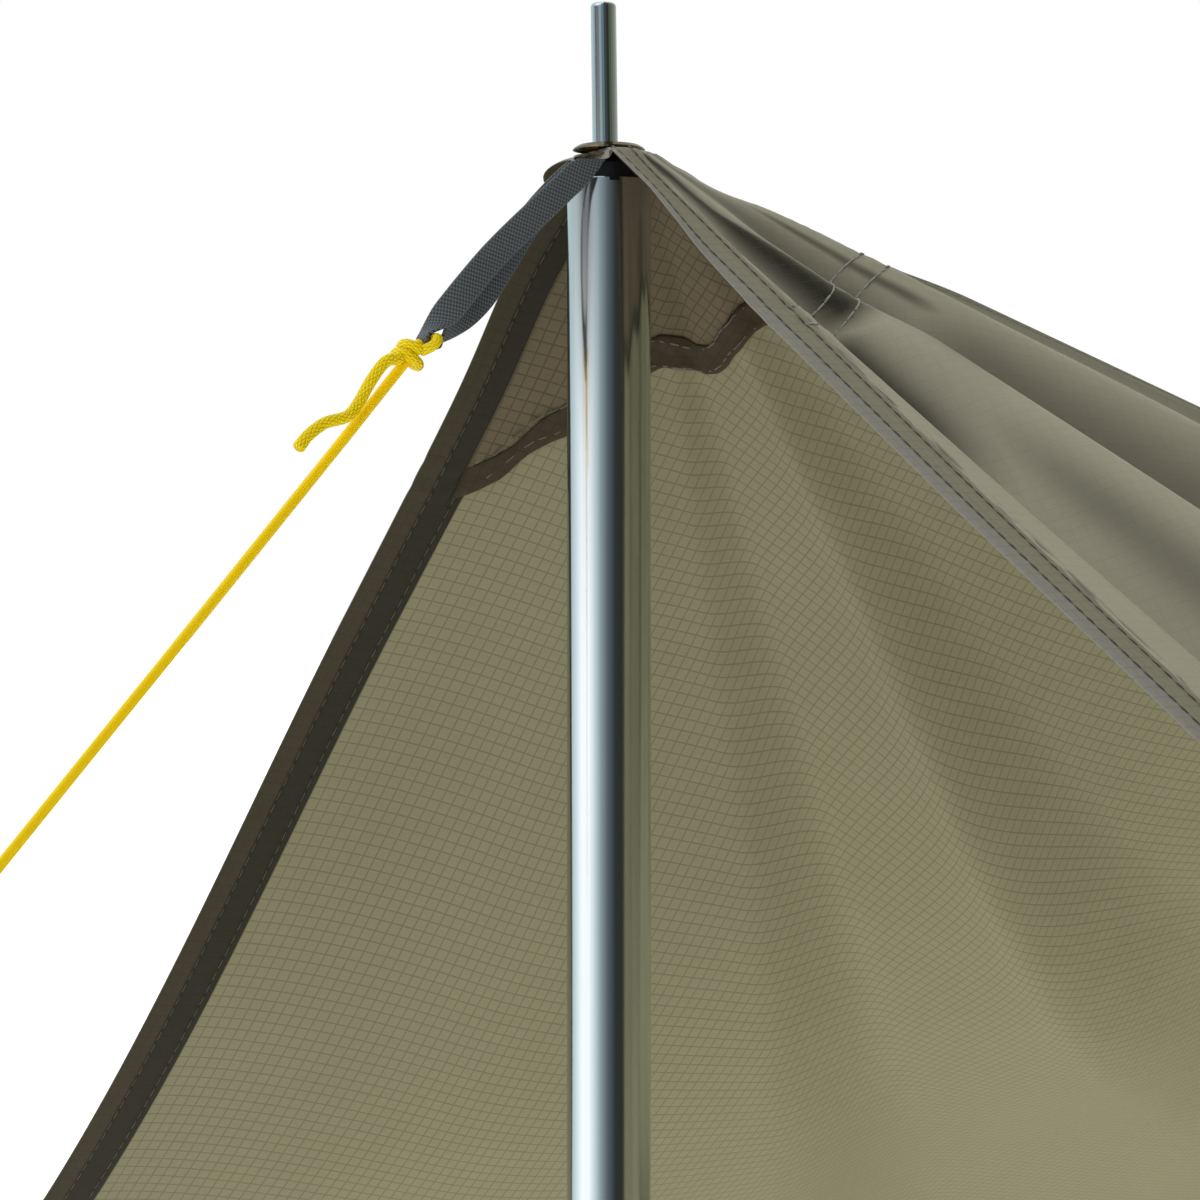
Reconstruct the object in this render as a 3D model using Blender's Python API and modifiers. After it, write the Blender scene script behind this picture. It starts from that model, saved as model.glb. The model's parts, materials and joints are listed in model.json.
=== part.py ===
"""A square camping tarp pitched over one telescopic pole.

The pole stands on the origin and the tarp's ridge runs along +Y. The front edge's middle eyelet sits on
the spike of the pole, a webbing loop under it takes the front guyline, and five webbing peg loops hold
the cloth on the ground. Units are metres, +Z is up.
"""

import math

import bmesh
import bpy
import numpy as np
from mathutils import Matrix, Vector

MM = 0.001
GAP = 0.3 * MM  # clearance between pieces that touch

# Cloth, flat sizes
TARP_HALF_WIDTH = 2.000
TARP_DEPTH = 4.000
EYELET_SETBACK = 14 * MM  # eyelet centre from the front edge
HEM_WIDTH = 23 * MM
SEAM_WIDTH = 12 * MM
PANEL_THICKNESS = 0.5 * MM
HEM_THICKNESS = 1.2 * MM
SEAM_THICKNESS = 1.0 * MM
PATCH_THICKNESS = 0.5 * MM
# Outline of the apex patch: angle in the flat cloth from the left half of the front edge, in degrees, and
# distance from the eyelet in millimetres
PATCH_OUTLINE = ((0, 148), (10, 130), (18, 120), (30, 104), (63, 104), (90, 122), (130, 128), (180, 138))
PATCH_SLACK = 1.4 * MM  # the patch hangs this far under the hem's inner face

# Pitch
APEX_HEIGHT = 1.2975  # middle of the cloth at the eyelet
GROUND_CLEARANCE = 3.5 * MM  # middle of the cloth's edge above the ground
FLAT_INNER = 12.5 * MM  # the cloth is level under the eyelet up to here
FLAT_OUTER = 22 * MM
FOLD_START = 15 * MM  # the radial folds grow from here
FOLD_FULL = 80 * MM
SWEEP_RADIUS = 0.450  # past this the cloth turns to its pegs
SWEEP_BLEND = 0.250
# Level headings under the eyelet of the left front edge, the ridge and the right front edge, in degrees
LEVEL_HEADINGS = (142.0, 66.0, -24.0)
# Pegged points on the ground, front left round to front right
GROUND_POINTS = ((-1.40, -0.35), (-1.95, 3.60), (0.0, 3.78), (1.80, 3.85), (1.461, 0.339))

# Lines of the cloth at the eyelet: angle in the flat cloth from the left half of the front edge, then
# the compass heading from +X and the slope below level that the line takes, in degrees
MAIN_LINES = (
    (0.0, 212.7, 58.6), (18.3, 173.0, 61.8), (36.6, 138.8, 53.7), (63.0, 113.5, 37.2),
    (90.0, 90.0, 19.2), (135.0, 55.4, 34.4), (180.0, 13.1, 37.2),
)
FOLD_LINES = (
    (0.0, 212.7, 58.6), (18.3, 173.0, 61.8), (36.6, 138.8, 53.7), (43.8, 130.5, 46.5),
    (53.0, 119.5, 45.8), (63.0, 113.5, 36.5), (90.0, 90.0, 19.2), (98.6, 84.7, 24.4),
    (110.6, 73.6, 24.8), (133.0, 57.9, 40.5), (150.0, 40.5, 33.1), (164.0, 27.7, 41.7),
    (174.0, 18.8, 37.1), (180.0, 13.1, 37.2),
)
# The front edge beside the eyelet turns this way: it starts and ends at these places right of the eyelet
TURN_HEADING = -29.2  # degrees
TURN_PLACES = (-10 * MM, 4 * MM, 35 * MM, 85 * MM)
TURN_DROP = 0.2  # its fall for each unit of its reach
# Distances along a cloth edge at which panels, hems and seam share their corners
EDGE_STEPS = (0, 7, 15, 28, 45, 70, 100, 140, 200, 300, 450, 680, 1000, 1450)
FAN_STEPS = 30  # columns of a panel, which fans out from the eyelet

# Eyelet
EYELET_BORE_RADIUS = 6.3 * MM
EYELET_WALL = 0.6 * MM
EYELET_RADIUS = 12.15 * MM
EYELET_CROWN = 3.1 * MM  # top of the rolled flange above the middle of the cloth
WASHER_THICKNESS = 0.7 * MM

# Pole
POLE_RADIUS = 14 * MM
POLE_WALL = 1.2 * MM
POLE_TOP = APEX_HEIGHT - 9.1 * MM
POLE_BOTTOM = 0.500
SLIDE_CLEARANCE = 0.8 * MM  # between the two tubes
OUTER_RADIUS = POLE_RADIUS + SLIDE_CLEARANCE + POLE_WALL
OUTER_TOP = 0.700
FOOT_WALL = 3 * MM
FOOT_RADIUS = OUTER_RADIUS + FOOT_WALL
FOOT_SKIRT_HEIGHT = 8 * MM
FOOT_FLOOR = 6 * MM
FOOT_HEIGHT = 38 * MM
NOTCH_WIDTH = 3.3 * MM
NOTCH_DEPTH = 1.3 * MM
NOTCH_HEADING = -21.5  # degrees from +X
SPIKE_RADIUS = 4.25 * MM
SPIKE_TOP = APEX_HEIGHT + 50.2 * MM
SPIKE_BOTTOM = APEX_HEIGHT - 35.5 * MM
SPIKE_LEAN = 0.76  # degrees
SPIKE_HEADING = 240.8  # the way it leans
SPIKE_OFFSET = 1.2 * MM  # at the eyelet
PLUG_LENGTH = 30 * MM
PLUG_RISE = 5.9 * MM  # above the pole's rim
BUSH_LENGTH = 22 * MM
BUSH_FLANGE = 5 * MM
BUSH_WALL = 3 * MM

# Lever lock
COLLAR_HEIGHT = 33 * MM
COLLAR_WALL = 3.2 * MM
COLLAR_LIP = 5 * MM
LUG_REACH = 11 * MM  # how far the lugs stand out from the bore
LUG_THICKNESS = 3.5 * MM
LUG_SLOT = 3 * MM
LUG_HALF_HEIGHT = 9 * MM
SCREW_RADIUS = 2 * MM
SCREW_OFFSET = OUTER_RADIUS + 7 * MM  # the cross screw from the pole's axis
NUT_RADIUS = 4.5 * MM
NUT_LENGTH = 5 * MM
CAM_RADIUS = 4 * MM
LEVER_PIN_RADIUS = 1.5 * MM
LEVER_HEIGHT = 14 * MM
LEVER_WALL = 3.5 * MM
LEVER_SWEEP = 100  # degrees that the lever reaches round the collar

# Webbing
STRAP_THICKNESS = 1.2 * MM
PEG_LOOP_LENGTH = 60 * MM
PEG_LOOP_WIDTH = 15 * MM
STRAP_WIDTH = 9.5 * MM
# The apex loop from its camera-side root, round the guyline's eye, to its other root. Each place is, in
# millimetres, the distance along the pull from the eye, the distance across and sideways, the turn of the
# strap about the pull in degrees, its slant in degrees and its width there
APEX_LOOP = (
    (-82.8, 0.9, 11.4, 0, 43, 4.6), (-75.0, 2.6, 10.6, 0, 0, 9.2), (-67.0, 3.0, 9.4, 0, 0, 9.5),
    (-56.0, 3.6, 8.2, 0, 0, 9.5), (-44.0, 4.3, 7.0, 0, 0, 9.5), (-33.0, 4.6, 6.0, 0, 0, 9.5),
    (-23.0, 4.5, 5.0, 5, 0, 9.5), (-14.0, 4.2, 3.8, 22, 0, 9.3), (-8.0, 3.8, 2.4, 50, 0, 8.8),
    (-3.5, 3.3, 0.8, 80, 0, 8.2), (0.0, 3.0, 0.0, 90, 0, 8.0), (1.5, 2.6, 0.0, 90, 0, 8.0),
    (2.6, 1.5, 0.0, 90, 0, 8.0), (3.0, 0.0, 0.0, 90, 0, 8.0), (2.6, -1.5, 0.0, 90, 0, 8.0),
    (1.5, -2.6, 0.0, 90, 0, 8.0), (0.0, -3.0, 0.0, 90, 0, 8.0), (-4.0, -3.8, -0.8, 102, 0, 8.4),
    (-10.0, -4.8, -2.6, 134, 0, 9.0), (-17.0, -5.4, -4.2, 165, 0, 9.4), (-27.0, -5.0, -4.8, 180, 0, 9.5),
    (-40.0, -2.6, -3.6, 180, 0, 9.5), (-54.0, 1.0, -0.6, 180, 0, 9.5), (-66.0, 2.6, 4.2, 180, 0, 9.5),
    (-76.0, 3.0, 7.6, 180, 0, 8.6),
)
LOOP_EYE = (0.0, -64.8, -62.6)  # where the guyline passes through the loop, in millimetres from the eyelet
LOOP_PULL = 46.6  # degrees below level, straight forward

# Guyline
CORD_RADIUS = 1.75 * MM
# Route points in millimetres from the eyelet
STANDING_LINE = (
    (0, -70.2, -65.7), (0, -77.1, -73.7), (0, -86, -84.0), (0, -97, -96.8), (0, -119.6, -122.8),
    (0, -148, -155.5), (0, -177.3, -189.0), (0, -195, -209.3), (0, -212.6, -229.5), (0, -225.3, -243.9),
)
TAIL_LINE = (
    (3.4, -79.3, -71.2), (4.2, -84.5, -72.3), (4.2, -89.8, -78.7), (4.2, -94.2, -85.9),
    (5.0, -98.6, -90.3), (6.0, -106.7, -92.6), (7.0, -113.0, -96.7), (7.6, -116.5, -100.5),
)
# Sideways, along and across the pull from the loop's eye, in millimetres
EYE_LINE = (
    (3.8, 6.2, 0.8), (5.4, 4.8, 0.4), (6.3, 3.2, 0.0), (6.4, 1.2, 0.0), (4.6, -0.2, 0.0), (0.0, -0.4, 0.0),
    (-4.6, -0.2, 0.0), (-6.4, 1.2, 0.0), (-6.3, 3.2, 0.0), (-5.4, 4.8, 0.4), (-3.8, 6.2, 0.8),
)
KNOT_CENTRE = (0.0, -74.0, -70.1)
KNOT_RADIUS = 3.9 * MM
KNOT_TURNS = 1.35
END_LOOP_RADIUS = 9 * MM


def clear_scene():
    """Empty the scene without reloading it."""
    for item in list(bpy.data.objects):
        bpy.data.objects.remove(item, do_unlink=True)


def new_collection(name):
    collection = bpy.data.collections.new(name)
    bpy.context.scene.collection.children.link(collection)
    return collection


def new_material(name, colour, roughness, metallic=0.0):
    material = bpy.data.materials.new(name)
    material.use_nodes = True
    shader = material.node_tree.nodes["Principled BSDF"]
    shader.inputs["Base Color"].default_value = (*colour, 1.0)
    shader.inputs["Roughness"].default_value = roughness
    shader.inputs["Metallic"].default_value = metallic
    return material


clear_scene()
PARTS = new_collection("camping_tarp")
CUTTERS = new_collection("cutters")

OUTER_CLOTH = new_material("ripstop_cloth", (0.25, 0.24, 0.18), 0.75)
HEM_CLOTH = new_material("hem_cloth", (0.21, 0.20, 0.15), 0.8)
PATCH_CLOTH = new_material("patch_cloth", (0.13, 0.11, 0.08), 0.8)
WEBBING = new_material("webbing", (0.07, 0.08, 0.09), 0.7)
CORD = new_material("guyline_cord", (0.80, 0.68, 0.0), 0.55)
BRASS = new_material("eyelet_metal", (0.55, 0.47, 0.33), 0.3, 1.0)
ALUMINIUM = new_material("satin_aluminium", (0.78, 0.80, 0.82), 0.25, 1.0)
ZINC = new_material("zinc_steel", (0.72, 0.76, 0.78), 0.15, 1.0)
BLACK_PLASTIC = new_material("black_plastic", (0.015, 0.015, 0.017), 0.45)
RUBBER = new_material("foot_rubber", (0.02, 0.02, 0.02), 0.85)


def add_mesh(name, vertices, faces, material, collection=PARTS):
    """Object at the world origin holding these vertices and faces."""
    mesh = bpy.data.meshes.new(name)
    mesh.from_pydata([tuple(v) for v in vertices], [], [tuple(f) for f in faces])
    mesh.update()
    item = bpy.data.objects.new(name, mesh)
    collection.objects.link(item)
    if material:
        mesh.materials.append(material)
    return item


def cut(item, cutter, operation="DIFFERENCE"):
    """Cut or join an object with another, which stays as a hidden guide."""
    cutter.hide_render = True
    cutter.display_type = "WIRE"
    modifier = item.modifiers.new(cutter.name, "BOOLEAN")
    modifier.operation = operation
    modifier.object = cutter
    modifier.solver = "EXACT"
    return modifier


def cylinder(name, radius, low, high, material=None, sides=32, collection=CUTTERS):
    """Closed cylinder between two points."""
    low = Vector(low)
    axis = Vector(high) - low
    mesh = bpy.data.meshes.new(name)
    shape = bmesh.new()
    bmesh.ops.create_cone(shape, cap_ends=True, segments=sides, radius1=radius, radius2=radius,
                          depth=axis.length)
    turn = axis.to_track_quat("Z", "Y").to_matrix().to_4x4()
    bmesh.ops.transform(shape, matrix=Matrix.Translation(low + axis / 2) @ turn, verts=shape.verts)
    shape.to_mesh(mesh)
    shape.free()
    item = bpy.data.objects.new(name, mesh)
    collection.objects.link(item)
    if material:
        mesh.materials.append(material)
    return item


def box(name, low, high, material=None, collection=CUTTERS):
    """Closed box between two corners."""
    low, high = Vector(low), Vector(high)
    mesh = bpy.data.meshes.new(name)
    shape = bmesh.new()
    size = Matrix.Diagonal((*(high - low), 1.0))
    bmesh.ops.create_cube(shape, size=1.0, matrix=Matrix.Translation((low + high) / 2) @ size)
    shape.to_mesh(mesh)
    shape.free()
    item = bpy.data.objects.new(name, mesh)
    collection.objects.link(item)
    if material:
        mesh.materials.append(material)
    return item


def turned(name, profile, material, closed, steps=48):
    """Turned piece about Z: the profile runs down its outer side, and back up its bore if closed."""
    count = len(profile)
    edges = [(i, i + 1) for i in range(count - 1)] + ([(count - 1, 0)] if closed else [])
    mesh = bpy.data.meshes.new(name)
    mesh.from_pydata([(r, 0.0, z) for r, z in profile], edges, [])
    mesh.materials.append(material)
    item = bpy.data.objects.new(name, mesh)
    PARTS.objects.link(item)
    screw = item.modifiers.new("turn", "SCREW")
    screw.axis = "Z"
    screw.steps = steps
    screw.render_steps = steps
    screw.use_merge_vertices = True
    screw.merge_threshold = 0.00001
    screw.use_smooth_shade = True
    return item


def smooth_route(points, spacing):
    """Points at an even spacing on a Catmull-Rom curve through the route."""
    points = [Vector(p) * MM for p in points]
    points = [points[0] * 2 - points[1], *points, points[-1] * 2 - points[-2]]
    dense = []
    for a, b, c, d in zip(points, points[1:], points[2:], points[3:]):
        for i in range(24):
            t = i / 24
            dense.append(0.5 * (2 * b + (c - a) * t + (2 * a - 5 * b + 4 * c - d) * t * t
                                + (3 * b - a - 3 * c + d) * t ** 3))
    dense.append(points[-2])
    lengths = np.concatenate([[0], np.cumsum([(q - p).length for p, q in zip(dense, dense[1:])])])
    count = max(2, round(lengths[-1] / spacing) + 1)
    at = np.linspace(0, lengths[-1], count)
    dense = np.array([tuple(p) for p in dense])
    return [tuple(np.interp(s, lengths, dense[:, k]) for k in range(3)) for s in at]


def smooth_sections(points, count):
    """Points on a Catmull-Rom curve, evenly spread over its spans."""
    points = [Vector(p) * MM for p in points]
    points = [points[0] * 2 - points[1], *points, points[-1] * 2 - points[-2]]
    spans = len(points) - 3
    found = []
    for i in range(count):
        place = i * spans / (count - 1)
        start = min(int(place), spans - 1)
        t = place - start
        a, b, c, d = points[start:start + 4]
        found.append(0.5 * (2 * b + (c - a) * t + (2 * a - 5 * b + 4 * c - d) * t * t
                            + (3 * b - a - 3 * c + d) * t ** 3))
    return found


def cord(name, points, radius=CORD_RADIUS, closed=False, material=CORD):
    """Tube along a list of points."""
    curve = bpy.data.curves.new(name, "CURVE")
    curve.dimensions = "3D"
    curve.bevel_depth = radius
    curve.bevel_resolution = 2
    curve.use_fill_caps = True
    spline = curve.splines.new("POLY")
    spline.points.add(len(points) - 1)
    for place, point in zip(spline.points, points):
        place.co = (*point, 1.0)
    spline.use_cyclic_u = closed
    curve.materials.append(material)
    item = bpy.data.objects.new(name, curve)
    PARTS.objects.link(item)
    return item


# The shape of the pitched cloth

def monotone_curve(x, y, at):
    """Cubic through (x, y) that never overshoots, read at the values given."""
    x, y, at = np.asarray(x, float), np.asarray(y, float), np.asarray(at, float)
    step = np.diff(x)
    slope = np.diff(y) / step
    inner = np.zeros(len(x))
    for i in range(1, len(x) - 1):
        if slope[i - 1] * slope[i] > 0:
            wa, wb = 2 * step[i] + step[i - 1], step[i] + 2 * step[i - 1]
            inner[i] = (wa + wb) / (wa / slope[i - 1] + wb / slope[i])
    inner[0], inner[-1] = slope[0], slope[-1]
    cell = np.clip(np.searchsorted(x, at) - 1, 0, len(step) - 1)
    t = (at - x[cell]) / step[cell]
    a, b, h = y[cell], y[cell + 1], step[cell]
    return (a * (1 + 2 * t) * (1 - t) ** 2 + inner[cell] * h * t * (1 - t) ** 2
            + b * t * t * (3 - 2 * t) + inner[cell + 1] * h * t * t * (t - 1))


def line_directions(lines, angle):
    """Unit directions of the hanging cloth at flat angles in degrees."""
    table = np.array(lines)
    heading = np.radians(monotone_curve(table[:, 0], table[:, 1], angle))
    slope = np.radians(monotone_curve(table[:, 0], table[:, 2], angle))
    down = np.stack([np.cos(heading) * np.cos(slope), np.sin(heading) * np.cos(slope), -np.sin(slope)], -1)
    return down


def level_direction(angle):
    """Unit level directions of the cloth under the eyelet at flat angles in degrees."""
    heading = np.radians(np.interp(angle, [0.0, 90.0, 180.0], LEVEL_HEADINGS))
    return np.stack([np.cos(heading), np.sin(heading), np.zeros_like(heading)], axis=-1)


def smoothstep(value):
    value = np.clip(value, 0.0, 1.0)
    return value * value * (3 - 2 * value)


def ground_point(p, q):
    """Where the ray from the eyelet through a flat point meets the pegged edge, and how far it runs."""
    depth = TARP_DEPTH - EYELET_SETBACK
    reach = np.minimum(TARP_HALF_WIDTH / np.maximum(np.abs(p), 1e-9), depth / np.maximum(q, 1e-9))
    edge_p, edge_q = p * reach, q * reach
    corners = np.array(GROUND_POINTS)
    side = np.clip(edge_q / depth, 0, 1)
    back = np.clip(np.abs(edge_p) / TARP_HALF_WIDTH, 0, 1)
    on_side = (np.abs(edge_p) >= TARP_HALF_WIDTH - 1e-6)[..., None]
    left = np.where(on_side, corners[0] + (corners[1] - corners[0]) * side[..., None],
                    corners[2] + (corners[1] - corners[2]) * back[..., None])
    right = np.where(on_side, corners[4] + (corners[3] - corners[4]) * side[..., None],
                     corners[2] + (corners[3] - corners[2]) * back[..., None])
    plan = np.where((p <= 0)[..., None], left, right)
    height = np.full(plan.shape[:-1] + (1,), GROUND_CLEARANCE)
    return np.concatenate([plan, height], axis=-1), np.hypot(edge_p, edge_q)


def rear_cloth(p, q):
    """Middle surface for flat points behind the eyelet: p to the right, q to the rear."""
    apex = np.array([0.0, 0.0, APEX_HEIGHT])
    radius = np.hypot(p, q)
    angle = np.degrees(np.arctan2(q, -p))
    level = level_direction(angle)
    main = line_directions(MAIN_LINES, angle)
    folded = line_directions(FOLD_LINES, angle)
    grown = smoothstep((radius - FOLD_START) / (FOLD_FULL - FOLD_START))[..., None]
    down = main + (folded - main) * grown
    down = down / np.linalg.norm(down, axis=-1, keepdims=True)
    over = np.clip(radius - FLAT_INNER, 0, FLAT_OUTER - FLAT_INNER)
    flat = np.minimum(radius, FLAT_OUTER) - over ** 2 / (2 * (FLAT_OUTER - FLAT_INNER))
    start = apex + level * flat[..., None]
    near = start + down * (radius - flat)[..., None]
    turn = start + down * (SWEEP_RADIUS - flat)[..., None]
    ground, reach = ground_point(p, q)
    share = (radius - SWEEP_RADIUS) / (reach - SWEEP_RADIUS)
    far = turn + (ground - turn) * share[..., None]
    swept = smoothstep((radius - SWEEP_RADIUS + SWEEP_BLEND) / (2 * SWEEP_BLEND))[..., None]
    return near + (far - near) * swept


def cloth(p, q):
    """Middle surface at any flat point: in front of the eyelet the cloth runs straight on."""
    p, q = np.broadcast_arrays(np.asarray(p, float), np.asarray(q, float))
    behind = rear_cloth(p, np.abs(q))
    line = rear_cloth(p, np.zeros_like(q))
    ahead = 2 * line - behind
    rise = smoothstep((np.abs(p) - FLAT_OUTER) / (2 * FLAT_OUTER))
    ahead[..., 2] = line[..., 2] + (ahead[..., 2] - line[..., 2]) * rise
    heading = math.radians(TURN_HEADING)
    begin, full, leave, end = TURN_PLACES
    turned_edge = smoothstep((p - begin) / (full - begin)) * (1 - smoothstep((p - leave) / (end - leave)))
    fall = -TURN_DROP * smoothstep(p / FLAT_OUTER)
    out = np.stack([np.full_like(p, math.cos(heading)), np.full_like(p, math.sin(heading)), fall], -1)
    ahead += (line + out * np.abs(q)[..., None] - ahead) * turned_edge[..., None]
    return np.where((q < 0)[..., None], ahead, behind)


def cloth_normal(p, q):
    """Unit normal on the weather side."""
    step = 0.5 * MM
    across = cloth(p + step, q) - cloth(p - step, q)
    along = cloth(p, q + step) - cloth(p, q - step)
    normal = np.cross(across, along)
    return normal / np.linalg.norm(normal, axis=-1, keepdims=True)


def sheet(name, p, q, thickness, material, offset=0.0):
    """Cloth piece over a grid of flat points, given its thickness by Solidify."""
    points = cloth(p, q)
    if offset:
        points = points + cloth_normal(p, q) * offset
    rows, columns = points.shape[:2]
    faces = []
    for i in range(rows - 1):
        for j in range(columns - 1):
            corner = i * columns + j
            faces.append((corner, corner + 1, corner + columns + 1, corner + columns))
    item = add_mesh(name, points.reshape(-1, 3), faces, material)
    shape = bmesh.new()
    shape.from_mesh(item.data)
    bmesh.ops.remove_doubles(shape, verts=shape.verts, dist=1e-6)
    shape.to_mesh(item.data)
    shape.free()
    solidify = item.modifiers.new("thickness", "SOLIDIFY")
    solidify.thickness = thickness
    solidify.offset = 0.0
    return item


FRONT_LINE = HEM_WIDTH - EYELET_SETBACK + GAP  # first row of the panels, behind the front hem
SEAM_LINE = SEAM_WIDTH / 2 + GAP
SIDE_LINE = TARP_HALF_WIDTH - HEM_WIDTH - GAP
REAR_LINE = TARP_DEPTH - EYELET_SETBACK - HEM_WIDTH - GAP


def edge_distances(length):
    """The shared distances along an edge, up to its whole length."""
    steps = [s * MM for s in EDGE_STEPS if s * MM < length - 0.15]
    return np.array([*steps, length])


def fan_angles():
    """Angles of a panel's columns, one of them on its rear corner."""
    corner = math.atan2(REAR_LINE - FRONT_LINE, SIDE_LINE - SEAM_LINE)
    first = round(FAN_STEPS * corner / (math.pi / 2))
    return np.concatenate([np.linspace(0, corner, first + 1),
                           np.linspace(corner, math.pi / 2, FAN_STEPS - first + 1)[1:]])


def make_panel(name, side):
    """Half of the tarp as a fan of columns from the corner beside the eyelet."""
    width, depth = SIDE_LINE - SEAM_LINE, REAR_LINE - FRONT_LINE
    angles = fan_angles()
    with np.errstate(divide="ignore"):
        reach = np.minimum(width / np.maximum(np.cos(angles), 1e-9), depth / np.maximum(np.sin(angles), 1e-9))
    shares_wide = edge_distances(width) / width
    shares_deep = edge_distances(depth) / depth
    count = min(len(shares_wide), len(shares_deep))
    mix = (angles / angles[-1])[:, None]
    shares = shares_wide[:count] * (1 - mix) + shares_deep[:count] * mix
    shares[:, -1] = 1.0
    distance = shares * reach[:, None]
    p = side * (SEAM_LINE + distance * np.cos(angles)[:, None])
    q = FRONT_LINE + distance * np.sin(angles)[:, None]
    if side > 0:
        p, q = p[::-1], q[::-1]
    return sheet(name, p[::-1], q[::-1], PANEL_THICKNESS, OUTER_CLOTH)


def edge_fan(side, rear):
    """Flat places along a panel's side or rear edge where its columns end."""
    width, depth = SIDE_LINE - SEAM_LINE, REAR_LINE - FRONT_LINE
    angles = fan_angles()
    corner = math.atan2(depth, width)
    if rear:
        on_edge = angles[angles >= corner - 1e-9]
        return side * (SEAM_LINE + depth / np.tan(on_edge))
    on_edge = angles[angles <= corner + 1e-9]
    return FRONT_LINE + width * np.tan(on_edge)


def panel_edge_distances(length, other):
    """The distances that both edges of a panel share in number."""
    count = min(len(edge_distances(length)), len(edge_distances(other)))
    own = edge_distances(length)[:count].copy()
    own[-1] = length
    return own


def make_front_hem():
    """Double-turned hem along the whole front edge, with the eyelet's hole."""
    width, depth = SIDE_LINE - SEAM_LINE, REAR_LINE - FRONT_LINE
    along = SEAM_LINE + panel_edge_distances(width, depth)
    half = np.concatenate([along, [TARP_HALF_WIDTH]])
    p = np.concatenate([-half[::-1], [0.0], half])
    q = np.array([-EYELET_SETBACK, 0.0, HEM_WIDTH - EYELET_SETBACK])
    hem = sheet("front_hem", *np.meshgrid(p, q), HEM_THICKNESS, HEM_CLOTH)
    hole = EYELET_BORE_RADIUS + EYELET_WALL + GAP
    cut(hem, cylinder("front_hem_hole", hole, (0, 0, APEX_HEIGHT - 0.005), (0, 0, APEX_HEIGHT + 0.005)))


def make_side_hem(name, side):
    q = edge_fan(side, rear=False)
    q = np.concatenate([q[:-1], [REAR_LINE]])
    p = np.array([TARP_HALF_WIDTH - HEM_WIDTH, TARP_HALF_WIDTH]) * side
    if side < 0:
        p = p[::-1]
    sheet(name, *np.meshgrid(p, q), HEM_THICKNESS, HEM_CLOTH)


def make_rear_hem():
    left, right = edge_fan(-1, rear=True), edge_fan(1, rear=True)[::-1]
    p = np.concatenate([[-TARP_HALF_WIDTH], left, right, [TARP_HALF_WIDTH]])
    q = np.array([REAR_LINE + GAP, TARP_DEPTH - EYELET_SETBACK])
    sheet("rear_hem", *np.meshgrid(p, q), HEM_THICKNESS, HEM_CLOTH)


def make_ridge_seam():
    """Felled seam that joins the panels along the ridge."""
    width, depth = SIDE_LINE - SEAM_LINE, REAR_LINE - FRONT_LINE
    q = FRONT_LINE + panel_edge_distances(depth, width)
    p = np.array([-SEAM_WIDTH / 2, 0.0, SEAM_WIDTH / 2])
    sheet("ridge_seam", *np.meshgrid(p, q), SEAM_THICKNESS, HEM_CLOTH)


def make_apex_patch():
    """Half-round reinforcement under the eyelet, on the inner side."""
    inner = EYELET_RADIUS + 1 * MM
    start = FRONT_LINE + 0.5 * MM
    share, turn = np.meshgrid(np.linspace(0, 1, 7) ** 1.4, np.linspace(0, 1, 41))
    outline = np.array(PATCH_OUTLINE)
    outer = monotone_curve(outline[:, 0], outline[:, 1] * MM, 180 * turn)
    radius = inner + (outer - inner) * share
    lowest = np.arcsin(start / radius)
    angle = lowest + (np.pi - 2 * lowest) * turn
    p, q = -radius * np.cos(angle), radius * np.sin(angle)
    drop = -(HEM_THICKNESS / 2 + PATCH_THICKNESS / 2 + PATCH_SLACK)
    sheet("apex_patch", p.T, q.T, PATCH_THICKNESS, PATCH_CLOTH, drop)


def make_eyelet():
    """Brass eyelet: a rolled flange whose barrel passes through the hem, and its washer."""
    middle = APEX_HEIGHT
    bore, barrel = EYELET_BORE_RADIUS, EYELET_BORE_RADIUS + EYELET_WALL
    top = middle + EYELET_CROWN
    rest = middle + HEM_THICKNESS / 2 + GAP
    washer_top = middle - HEM_THICKNESS / 2 - 0.4 * MM
    washer_low = washer_top - WASHER_THICKNESS
    roll = washer_low - GAP
    flange = [
        (bore + 0.5 * MM, top - 0.5 * MM), (bore + 1.9 * MM, top), (EYELET_RADIUS - 2 * MM, top - 0.4 * MM),
        (EYELET_RADIUS - 0.4 * MM, top - 1.4 * MM), (EYELET_RADIUS, rest + 0.1 * MM),
        (EYELET_RADIUS - 0.4 * MM, rest), (EYELET_RADIUS - 1.2 * MM, top - 1.4 * MM),
        (EYELET_RADIUS - 2.4 * MM, top - 0.9 * MM), (barrel + 0.9 * MM, top - 0.8 * MM),
        (barrel, top - 1.5 * MM), (barrel, roll), (barrel + 1.5 * MM, roll - 0.1 * MM),
        (barrel + 1.6 * MM, roll - 0.5 * MM), (barrel + 0.2 * MM, roll - 0.7 * MM), (bore, roll - 0.2 * MM),
        (bore, top - 1.2 * MM),
    ]
    turned("eyelet_flange", flange, BRASS, closed=True)
    inner = barrel + 0.4 * MM
    outer = EYELET_RADIUS - 0.3 * MM
    washer = [(outer, washer_top), (outer, washer_low), (inner, washer_low), (inner, washer_top)]
    turned("eyelet_washer", washer, BRASS, closed=True)


def spike_axis(height):
    """Point on the leaning axis of the spike."""
    heading = math.radians(SPIKE_HEADING)
    out = SPIKE_OFFSET + (height - APEX_HEIGHT) * math.tan(math.radians(SPIKE_LEAN))
    return Vector((out * math.cos(heading), out * math.sin(heading), height))


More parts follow.
